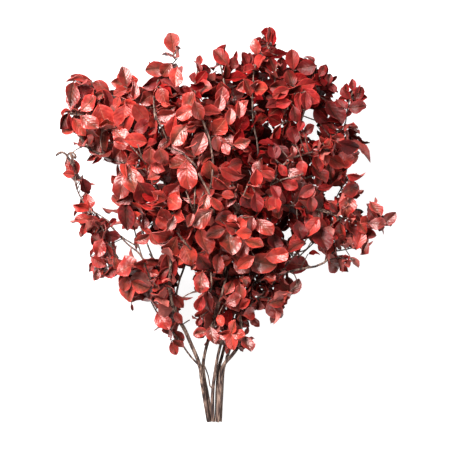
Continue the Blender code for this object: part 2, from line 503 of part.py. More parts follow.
class Branch:
    """One cut branch while it grows: its wood as tubes, the places where twigs can join, and its leaves."""

    def __init__(self, name, table, space):
        self.name = name
        self.space = space
        self.shoots = table["shoots"]
        self.tubes = []
        self.places = []
        self.twigs = []
        self.singles = []
        self.leaves = []
        for first, last, points in table["limbs"]:
            route = [Vector(point) for point in points]
            if self.places:
                route[0] = min(self.places, key=lambda place: (place[0] - route[0]).length)[0].copy()
            sides = STEM_SIDES if first > STEM_DIAMETER else LIMB_SIDES
            self.add_wood(route, limb_radii(first, last, route), sides)

    def add_wood(self, route, radii, sides):
        solid = tube(route, radii, sides)
        self.tubes.append(solid)
        self.space.add(self.name, solid)
        self.places += [place for place in route_places(route, radii) if place[0].y > BARE_BELOW]

    def add_twig(self, rng, shoot):
        """A twig to one shoot's tip, bent clear of the other branches."""
        count, length = shoot[4], shoot[5]
        heading = heading_vector(shoot[3], shoot[2])
        tip = Vector(shoot[:3]) - heading * ((SINGLE_REACH if count == 1 else CLUSTER_REACH) * length)
        tip.z = max(tip.z, LOWEST_TWIG)
        ranked = sorted(self.places, key=lambda place: joining_cost(place, tip, heading))
        if count == 1 and (ranked[0][0] - tip).length < LONGEST_STALK:
            self.singles.append((shoot, tip, heading))
            return
        end_radius = 0.5 * TWIG_DIAMETER
        for attempt in range(TWIG_TRIES):
            place = ranked[(attempt // 4) * 2]
            bulge = Vector([rng.gauss(0, 1.0 + attempt * 0.3) for _ in range(3)])
            route = shoot_route(place, tip, heading, bulge)
            grown = end_radius + TWIG_TAPER * (tip - place[0]).length
            first_radius = max(end_radius, min(place[2] * 0.8, grown))
            radii = [first_radius, 0.5 * (first_radius + end_radius), end_radius][: len(route)]
            radii[-1] = end_radius
            wide = tube(route, [radius + CLEARANCE for radius in radii], TWIG_SIDES)
            if not self.space.touches(wide, self.name, own=False):
                self.add_wood(route, radii, TWIG_SIDES)
                self.twigs.append((shoot, route))
                return

    def add_single(self, rng, shoot, tip, heading):
        """A leaf on its own stalk, straight from older wood."""
        flat = Vector((0, 0, 1)).cross(heading).normalized()
        frame = (heading, flat, heading.cross(flat))
        ranked = sorted(self.places, key=lambda place: joining_cost(place, tip, heading))
        for place in ranked[:10:2]:
            stalk = tip - place[0]
            root = place[0] if stalk.length > 5 else None
            base = tip if root else place[0]
            lean = math.radians(rng.uniform(*SINGLE_LEAN))
            if self.add_leaf(rng, root, base, frame, rng.uniform(0, 6.28), lean, shoot[5]):
                return

    def add_leaves(self, rng, shoot, route):
        """The leaves of one shoot, in a spiral back from its tip, each turned until it is clear."""
        count, length = shoot[4], shoot[5]
        before, tip = route[-2], route[-1]
        ahead = (tip - before).normalized()
        flat = Vector((0, 0, 1)).cross(ahead).normalized()
        upright = ahead.cross(flat)
        back = FIRST_STEP
        azimuth = rng.uniform(0, 2 * math.pi) if count > 2 else rng.choice([0.3, math.pi - 0.3])
        room = 0.75 * (tip - before).length
        for k in range(count):
            leans = SINGLE_LEAN if count == 1 else (TIP_LEAN if k == 0 else SIDE_LEAN)
            lean = rng.uniform(*leans)
            size = length * rng.uniform(*LEAF_SIZES)
            base = tip - ahead * min(back, room)
            self.add_leaf(rng, None, base, (ahead, flat, upright), azimuth, math.radians(lean), size)
            back += rng.uniform(*LEAF_STEPS)
            azimuth += SPIRAL_TURN

    def add_leaf(self, rng, root, base, frame, azimuth, lean, size):
        ahead, flat, upright = frame
        form = rng.randrange(len(FORMS))
        for attempt in range(LEAF_TRIES):
            spread = TURN_SPREAD + TURN_SPREAD_STEP * attempt
            turn = azimuth + rng.gauss(0, spread)
            tilt = lean + rng.gauss(0, 0.5 * spread)
            side = flat * math.cos(turn) + upright * math.sin(turn)
            along = (ahead * math.cos(tilt) + side * math.sin(tilt)).normalized()
            out = outward(base) + Vector([rng.gauss(0, FACING_SCATTER) for _ in range(3)])
            out = (out - along * out.dot(along)).normalized()
            axes = Matrix((along, out.cross(along), out)).transposed()
            leaf = Leaf(form, root, base.copy(), axes, size * (1 - SHRINK_STEP * attempt))
            if self.fits(leaf):
                self.leaves.append(leaf)
                self.space.add(self.name, blade(leaf, BLADE_THICKNESS))
                return True
        return False

    def fits(self, leaf):
        along, face = leaf.axes.col[0], leaf.axes.col[2]
        if leaf.root and (leaf.base - leaf.root).normalized().dot(along) < LEAST_STALK_LEAN:
            return False
        tip = leaf.base + along * leaf.length
        if tip.z < LYING_BELOW and (abs(face.z) < LYING_FACE or tip.z < LOWEST_TIP):
            return False
        points = blade(leaf, BLADE_THICKNESS)[0]
        if min(p.x for p in points) < BUNCH_LEFT or max(p.x for p in points) > BUNCH_RIGHT:
            return False
        if max(p.y for p in points) > BUNCH_TOP or max(p.z for p in points) > BUNCH_HEIGHT:
            return False
        if in_open_place(points[1:]):
            return False
        wide = blade(leaf, BLADE_THICKNESS + 2 * CLEARANCE, grown=CLEARANCE)
        if self.space.touches(wide, self.name, own=False):
            return False
        outer = blade(leaf, BLADE_THICKNESS + 2 * LEAF_CLEARANCE, grown=LEAF_CLEARANCE, start=ROOT_SHARE)
        return not self.space.touches(outer, self.name, own=True)


def grow():
    """All six branches: limbs first, then twigs, and then leaves, so that leaves give way to wood."""
    space = Space()
    rng = random.Random(SEED)
    branches = [Branch(name, table, space) for name, table in BRANCHES.items()]
    for branch in branches:
        for shoot in branch.shoots:
            branch.add_twig(rng, shoot)
    for branch in branches:
        for shoot, tip, heading in branch.singles:
            branch.add_single(rng, shoot, tip, heading)
        for shoot, route in branch.twigs:
            branch.add_leaves(rng, shoot, route)
    return branches


# Blender objects
def clear_scene():
    for item in list(bpy.data.objects):
        bpy.data.objects.remove(item)


def foliage_material(name, colour):
    material = bpy.data.materials.new(name)
    material.use_nodes = True
    shader = material.node_tree.nodes["Principled BSDF"]
    shader.inputs["Base Color"].default_value = (*colour, 1.0)
    shader.inputs["Roughness"].default_value = 0.42
    shader.inputs["Metallic"].default_value = 0.0
    return material


def new_object(name, solid, collection):
    points, faces = solid
    mesh = bpy.data.meshes.new(name)
    mesh.from_pydata([tuple(point * MM) for point in points], [], faces)
    mesh.validate()
    item = bpy.data.objects.new(name, mesh)
    collection.objects.link(item)
    return item


def fuse(branch):
    """One closed body: the main stem joined with the branch's other wood and its leaves."""
    scene = bpy.context.scene
    body = new_object(branch.name, branch.tubes[0], scene.collection)
    pieces = bpy.data.collections.new(branch.name + "_pieces")
    scene.collection.children.link(pieces)
    for solid in branch.tubes[1:] + [blade(leaf, BLADE_THICKNESS) for leaf in branch.leaves]:
        new_object(branch.name + "_piece", solid, pieces)
    union = body.modifiers.new("Union", "BOOLEAN")
    union.operation = "UNION"
    union.solver = "EXACT"
    union.operand_type = "COLLECTION"
    union.collection = pieces
    bpy.context.view_layer.objects.active = body
    bpy.ops.object.modifier_apply(modifier=union.name)
    for piece in list(pieces.objects):
        bpy.data.objects.remove(piece)
    bpy.data.collections.remove(pieces)
    return body


def main():
    clear_scene()
    for branch in grow():
        body = fuse(branch)
        body.data.materials.append(foliage_material(branch.name, BRANCHES[branch.name]["colour"]))


main()
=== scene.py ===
# %% [markdown]
# # A bunch of preserved pittosporum
# Six cut branches lie on a pale table, seen from straight above. Each one grew as a single piece: a woody
# stem, side limbs, thin twigs, and waxy dyed leaves in whorls round the twig tips.
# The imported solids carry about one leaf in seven, coarse and a little thick. This script grows the same
# branches by the same rule, so that these main leaves keep their places, adds the other leaves, and then
# models the leaves and the wood as they really are.

# %% The frame
import math
import random
from collections import namedtuple

import bmesh
import bpy
import numpy as np
from mathutils import Matrix, Vector
from mathutils.bvhtree import BVHTree
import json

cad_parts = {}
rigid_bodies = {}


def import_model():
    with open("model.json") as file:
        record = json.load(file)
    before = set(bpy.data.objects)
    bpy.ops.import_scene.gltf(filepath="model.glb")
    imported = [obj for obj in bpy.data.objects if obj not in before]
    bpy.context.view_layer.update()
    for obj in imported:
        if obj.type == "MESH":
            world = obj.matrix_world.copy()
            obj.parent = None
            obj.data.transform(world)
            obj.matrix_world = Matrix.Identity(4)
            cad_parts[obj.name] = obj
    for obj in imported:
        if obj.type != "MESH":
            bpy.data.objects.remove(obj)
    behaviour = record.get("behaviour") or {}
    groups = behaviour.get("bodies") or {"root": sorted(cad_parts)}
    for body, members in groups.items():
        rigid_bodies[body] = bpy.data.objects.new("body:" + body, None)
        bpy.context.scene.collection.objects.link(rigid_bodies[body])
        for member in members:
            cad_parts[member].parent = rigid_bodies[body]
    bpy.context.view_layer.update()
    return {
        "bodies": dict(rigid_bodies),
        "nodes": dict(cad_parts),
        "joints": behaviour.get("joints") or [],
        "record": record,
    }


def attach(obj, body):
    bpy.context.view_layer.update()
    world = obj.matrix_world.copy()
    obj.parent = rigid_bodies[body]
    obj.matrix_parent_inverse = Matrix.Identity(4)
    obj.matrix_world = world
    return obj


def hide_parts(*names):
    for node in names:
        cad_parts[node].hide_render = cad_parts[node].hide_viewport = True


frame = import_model()

# %% [markdown]
# ## The studio
# The bunch lies on a pale floor and the camera looks straight down on it from six metres, through a long
# lens. The floor is a product table of white glass, softly lit from below, so hardly a shadow shows on it. A
# large soft light stands beyond the top left corner of the picture, since the leaves shine on that side. A
# weaker one opposite it and a pale room keep the depths of the bunch from going black.

# %% Floor, lights and camera
PICTURE_SCALE = 0.00139
PICTURE_PIXELS = 452
CAMERA_HEIGHT = 6.0
CROWN_HEIGHT = 0.06
FLOOR_SIZE, FLOOR_DROP = 8.0, 0.0004
GLASS_COLOUR = (0.30, 0.30, 0.30, 1)
TABLE_GLOW, ROOM_GLOW = 0.92, 0.09
KEY_POWER, FILL_POWER = 216, 30


def lit_glass(name):
    material = bpy.data.materials.new(name)
    material.use_nodes = True
    inputs = material.node_tree.nodes["Principled BSDF"].inputs
    inputs["Base Color"].default_value = GLASS_COLOUR
    inputs["Roughness"].default_value = 0.8
    inputs["Specular IOR Level"].default_value = 0.1
    inputs["Emission Color"].default_value = (1, 1, 1, 1)
    inputs["Emission Strength"].default_value = TABLE_GLOW
    return material


def select_only(*items):
    """Selects these objects and no others, and makes the first one active."""
    bpy.ops.object.select_all(action="DESELECT")
    for item in items:
        item.select_set(True)
    if items:
        bpy.context.view_layer.objects.active = items[0]


def add_light(name, place, aim, size, power):
    light = bpy.data.lights.new(name, "AREA")
    light.size = size
    light.energy = power
    lamp = bpy.data.objects.new(name, light)
    lamp.location = place
    lamp.rotation_euler = (Vector(aim) - Vector(place)).to_track_quat("-Z", "Y").to_euler()
    bpy.context.scene.collection.objects.link(lamp)


select_only()
bpy.ops.mesh.primitive_plane_add(size=FLOOR_SIZE, location=(0, 0, -FLOOR_DROP))
floor = bpy.context.object
floor.name = "floor"
floor.data.materials.append(lit_glass("white_glass"))

add_light("key_light", (-1.0, 1.15, 1.9), (0, 0.02, 0.1), 1.3, KEY_POWER)
add_light("fill_light", (1.5, -1.0, 1.9), (0, 0.0, 0.1), 1.6, FILL_POWER)
world = bpy.data.worlds.new("pale_room")
world.use_nodes = True
world.node_tree.nodes["Background"].inputs["Color"].default_value = (1.0, 0.99, 0.98, 1)
world.node_tree.nodes["Background"].inputs["Strength"].default_value = ROOM_GLOW
bpy.context.scene.world = world
bpy.context.scene.view_settings.view_transform = "Standard"

camera = bpy.data.objects.new("camera", bpy.data.cameras.new("camera"))
camera.location = (0, 0, CAMERA_HEIGHT)
picture_width = PICTURE_SCALE * PICTURE_PIXELS
camera.data.lens = camera.data.sensor_width * (CAMERA_HEIGHT - CROWN_HEIGHT) / picture_width
bpy.context.scene.collection.objects.link(camera)
bpy.context.scene.camera = camera
print("lens", round(camera.data.lens), "mm")

# %% [markdown]
# ## How the bunch grows
# Eleven limbs on the longest branch could be drawn by hand, but not hundreds of leaves. So the limbs and the
# shoots are listed one by one, from what can be seen, and a seeded rule joins each shoot to the nearest older
# wood and sets its leaves round it in a spiral, as a real shoot does. A leaf that would touch another branch
# is turned away. The rule and its numbers are those of the solids, so the main leaves come out in the same
# places.

# %% Sizes and growing rules, in millimetres
MM = 0.001
SEED = 20

# The whole bunch
BUNCH_LEFT, BUNCH_RIGHT = -236.0, 235.0
BUNCH_TOP = 276.0
MIDDLE_HEIGHT = 85.0
BUNCH_HEIGHT = 205.0

# Leaves
BLADE_THICKNESS = 0.8
WIDTH_SHARE = 0.64
SMALL_LEAF = 26.0
FLAT_FOLD = 0.13
EDGE_WAVES = 7.0
OTHER_EDGE_SHIFT = 1.7
TWIST_FROM = 0.2
ARCH_SHORTENING = 0.4

# Wood
TWIG_DIAMETER = 2.3
STALK_WIDTH = 1.5
LONGEST_STALK = 24.0
STEM_DIAMETER = 4.0
STEM_SIDES = 7
LIMB_SIDES = 4
TWIG_SIDES = 3
LIMB_TAPER = 0.8
TWIG_TAPER = 0.006

# Clearance between branches, and between the leaves of one branch
CLEARANCE = 0.35
LEAF_CLEARANCE = 0.1

# Where twigs join older wood: how far apart the places are, the lowest one, and what counts against a place
JOINING_STEP = 6.0
BARE_BELOW = -215.0
LEAST_LEAN, BACKWARD_COST, TURNING_COST = 0.4, 45.0, 16.0
STRAIGHT_TWIG = 24.0
BEND_PLACE, BEND_DEPTH = 0.58, 0.11
LOWEST_TWIG = 2.5

# How a twig that has no room is tried again, and how thick it starts as a share of the wood that carries it
TWIG_TRIES, TRIES_AT_PLACE, PLACE_STEP = 40, 4, 2
BULGE, BULGE_STEP = 1.0, 0.3
TWIG_SHARE = 0.8

# How shoots rise with their height in the bunch, in degrees, and how far behind its leaves a twig ends
RISE_PER_MM = 0.45
STEEPEST_DOWN, STEEPEST_UP = -30.0, 34.0
SINGLE_REACH, CLUSTER_REACH = 0.5, 0.36

# How leaves stand on a shoot: lean from the twig in degrees, size, and distance between them along the twig
SINGLE_LEAN, TIP_LEAN, SIDE_LEAN = (2, 14), (22, 40), (48, 74)
LEAF_SIZES = (0.9, 1.08)
LEAF_STEPS = (3.5, 6.5)
FIRST_STEP = 0.9
LEAFY_SHARE = 0.75
PAIR_TURN = 0.3
ANY_TURN = 6.28
SINGLE_PLACES = slice(0, 10, 2)
STALKED_FROM = 5.0
SPIRAL_TURN = math.radians(137.5)
FACING_CENTRE = (0.0, 40.0, 70.0)
FACING_REACH = (400.0, 500.0, 50.0)
FACING_SCATTER = 0.42

# How a leaf that has no room is tried again, and what is refused
LEAF_TRIES = 16
TURN_SPREAD, TURN_SPREAD_STEP = 0.12, 0.09
SHRINK_STEP = 0.012
ROOT_SHARE = 0.26
LEAST_STALK_LEAN = 0.35
LYING_BELOW, LYING_FACE, LOWEST_TIP = 2.0, 0.8, -6.0

# %% Eight forms of leaf
# A leaf form: its width, its fold along the midrib, how far the tip bends down, its twist and its wave
Form = namedtuple("Form", "width fold arch twist wave phase")
FORMS = [
    Form(1.00, 0.16, 0.10, 0.0, 0.030, 0.0),
    Form(0.96, 0.34, -0.14, 0.2, 0.035, 1.2),
    Form(1.04, 0.20, 0.26, -0.2, 0.045, 2.1),
    Form(0.92, 0.24, 0.12, 0.8, 0.030, 0.6),
    Form(1.02, 0.10, 0.04, -0.3, 0.070, 2.8),
    Form(0.74, 0.75, 0.16, 0.1, 0.030, 1.9),
    Form(1.20, 0.12, -0.06, 0.0, 0.040, 0.9),
    Form(0.86, 0.42, 0.40, -0.6, 0.050, 2.4),
]
# The coarse blade: places along the leaf and across it, in shares of its length and of its half width
OUTLINE = [(0.0, 0.0), (0.34, 0.92), (0.76, 0.90), (1.0, 0.0), (0.76, -0.90), (0.34, -0.92)]
SPINE = (0.55, 0.0)

# %% Open places, limbs and shoots
# Open places between the branches, seen from above: centre x, y and half sizes
OPEN_PLACES = [
    (73, 143, 14, 5), (117, 146, 11, 15), (-7, 30, 3, 9), (-54, -78, 8, 16), (-105, -31, 10, 10),
    (-172, 48, 13, 34), (85, -10, 4, 11), (100, -38, 6, 4), (155, 50, 6, 9), (-57, 198, 4, 16),
    (-25, 190, 4, 8), (12, -47, 4, 4), (-85, 222, 6, 12), (-55, -130, 7, 25),
]
# The limbs of each branch: first and last diameter, and a route
LIMBS = {
    "left_branch": [
        (5.8, 2.4, [
            (-24, -275, 8.9), (-30, -240, 12), (-34, -215, 18), (-36, -198, 24), (-50, -162, 37),
            (-60, -140, 48), (-70, -126, 58), (-75, -108, 70), (-78, -75, 92), (-76, -50, 106),
            (-76, -12, 120), (-84, 20, 122), (-93, 48, 120), (-106, 78, 116), (-124, 118, 110),
            (-132, 145, 106), (-136, 165, 104), (-165, 183, 100), (-194, 193, 96),
        ]),
        (3.4, 1.8, [
            (-68, -129, 55), (-70, -108, 58), (-66, -80, 64), (-58, -57, 74), (-49, -24, 86), (-43, 8, 94),
            (-41, 48, 106), (-43, 80, 120), (-60, 101, 130), (-80, 111, 134), (-94, 138, 136),
            (-99, 165, 132), (-91, 206, 122), (-76, 221, 116), (-67, 231, 112),
        ]),
        (2.8, 1.8, [
            (-38, -194, 25), (-48, -184, 27), (-66, -159, 30), (-88, -131, 38), (-97, -119, 44),
            (-107, -99, 54),
        ]),
        (2.6, 1.6, [
            (-75, -106, 72), (-88, -101, 79), (-99, -80, 83), (-115, -73, 84), (-140, -66, 82),
            (-172, -59, 76),
        ]),
        (2.2, 1.6, [(-104, -78, 84), (-112, -54, 90), (-121, -27, 92), (-129, 5, 95), (-138, 38, 96)]),
        (2.0, 1.5, [(-120, -29, 92), (-148, -12, 87), (-165, 8, 82), (-183, 20, 78)]),
        (2.0, 1.5, [
            (-144, -65, 82), (-154, -38, 85), (-169, -7, 88), (-188, 22, 79), (-203, 42, 73), (-211, 66, 70),
        ]),
        (2.2, 1.5, [
            (-104, 75, 116), (-130, 84, 110), (-160, 93, 104), (-185, 105, 98), (-198, 120, 95),
            (-206, 150, 92),
        ]),
        (2.0, 1.5, [(-136, 158, 104), (-158, 156, 100), (-180, 153, 96), (-218, 157, 88)]),
        (1.7, 1.2, [(-192, 112, 97), (-208, 105, 94), (-217, 98, 92), (-226, 101, 90), (-235, 97, 86)]),
        (2.8, 1.7, [
            (-77, -90, 82), (-92, -66, 56), (-108, -30, 36), (-122, 10, 26), (-134, 55, 23), (-148, 100, 26),
            (-162, 142, 38),
        ]),
    ],
    "inner_left_branch": [
        (5.2, 2.2, [
            (-20.3, -275, 2.9), (-24, -250, 5), (-28, -228, 8), (-31, -210, 12), (-32, -196, 15),
            (-30, -180, 20), (-25, -160, 27), (-19, -137, 37), (-11, -108, 51), (-5, -85, 63), (-1, -55, 80),
            (-6, -10, 100), (-14, 12, 114), (-23, 42, 132), (-18, 76, 142), (-21, 112, 143), (-33, 147, 138),
            (-43, 185, 126), (-39, 214, 116), (-37, 224, 112),
        ]),
        (3.0, 1.8, [
            (-6, -88, 61), (-14, -77, 62), (-24, -62, 60), (-40, -35, 52), (-57, 0, 42), (-76, 38, 32),
            (-92, 80, 26), (-100, 122, 30),
        ]),
        (1.6, 1.2, [(-9, -99, 55), (-20, -94, 60), (-30, -92, 62), (-41, -90, 64), (-58, -98, 66)]),
    ],
    "middle_branch": [
        (4.6, 2.2, [
            (-18.2, -275, 8.0), (-19, -250, 10.5), (-18, -225, 13), (-15, -203, 17), (-11, -180, 22),
            (-6, -160, 28), (-2, -138, 36), (8, -90, 54), (13, -58, 67), (16, -28, 82), (18, 2, 98),
            (15, 22, 110), (4, 40, 116), (-1, 70, 116), (0, 105, 115), (5, 140, 114), (2, 175, 110),
            (-8, 224, 102),
        ]),
        (2.8, 1.5, [
            (15, 21, 109), (25, 46, 118), (41, 78, 129), (44, 105, 128), (37, 145, 122), (37, 185, 118),
            (42, 225, 112), (57, 242, 108), (63, 252, 106),
        ]),
        (2.8, 1.7, [
            (8, -91, 53), (5, -62, 55), (0, -25, 50), (-6, 15, 44), (-10, 60, 38), (-13, 110, 36),
            (-16, 160, 42),
        ]),
    ],
    "upper_right_branch": [
        (5.2, 1.8, [
            (-12.6, -275, 2.7), (-12.8, -250, 4), (-12, -225, 6), (-10, -200, 9), (-5, -180, 13),
            (0, -160, 18), (6, -138, 24), (14, -112, 33), (25, -82, 44), (38, -48, 56), (52, -10, 68),
            (66, 25, 80), (78, 60, 90), (88, 92, 98), (98, 125, 104), (107, 155, 106), (118, 182, 106),
            (130, 204, 104),
        ]),
        (2.4, 1.5, [
            (87, 90, 97), (110, 102, 98), (134, 114, 98), (151, 127, 98), (163, 138, 99), (167, 158, 100),
            (172, 180, 98),
        ]),
        (2.2, 1.5, [(77, 57, 89), (102, 64, 84), (130, 72, 80), (155, 82, 76), (172, 93, 72)]),
        (2.6, 1.5, [
            (66, 24, 79), (76, 50, 66), (82, 85, 54), (86, 120, 48), (86, 160, 48), (88, 200, 54),
            (94, 230, 60),
        ]),
        (2.2, 1.4, [(98, 124, 104), (86, 148, 114), (75, 172, 124), (67, 198, 126), (70, 222, 120)]),
    ],
    "right_branch": [
        (6.0, 1.6, [
            (-12.6, -275, 8.7), (-9, -240, 12), (-7.5, -215, 16), (-6, -202, 19), (-1, -191, 22),
            (8, -181, 25), (19, -164, 30), (21, -145, 37), (20, -115, 50), (24, -94, 60), (40, -79, 70),
            (64, -70, 80), (100, -60, 90), (135, -51, 92), (146, -38, 90), (153, -18, 85), (165, 0, 80),
            (195, 14, 74), (218, 13, 68),
        ]),
        (2.6, 1.7, [
            (21, -124, 46), (35, -110, 53), (48, -97, 60), (60, -84, 64), (74, -66, 68), (94, -42, 70),
            (114, -15, 70), (130, 8, 68), (150, 30, 64),
        ]),
        (1.9, 1.4, [(137, -50, 92), (156, -44, 89), (178, -46, 85)]),
        (1.9, 1.4, [(146, -37, 90), (168, -32, 86), (188, -26, 82)]),
        (3.2, 1.5, [
            (21, -108, 53), (26, -78, 68), (30, -42, 84), (36, 0, 106), (48, 32, 120), (66, 64, 130),
            (85, 90, 134), (105, 98, 133), (130, 104, 130), (152, 108, 124),
        ]),
        (2.4, 1.4, [
            (47, 30, 119), (74, 30, 118), (100, 27, 116), (120, 24, 114), (140, 18, 109), (165, 10, 100),
            (190, 5, 92), (222, 9, 80),
        ]),
    ],
    "back_branch": [
        (4.0, 1.7, [
            (-8.0, -275, 2.2), (-6.5, -250, 2.8), (-5, -225, 4), (-3, -200, 6), (3, -180, 9), (10, -160, 13),
            (20, -135, 18), (28, -105, 24), (31, -70, 30), (31, -30, 33), (34, 15, 34), (40, 60, 32),
            (46, 105, 31), (49, 150, 35), (47, 190, 43), (50, 216, 52),
        ]),
        (2.4, 1.5, [
            (27, -108, 23), (50, -86, 28), (80, -62, 32), (110, -35, 36), (140, -5, 40), (172, 42, 50),
        ]),
        (2.4, 1.5, [(34, 13, 34), (65, 34, 30), (98, 60, 28), (126, 88, 31), (150, 110, 38), (172, 128, 52)]),
    ],
}
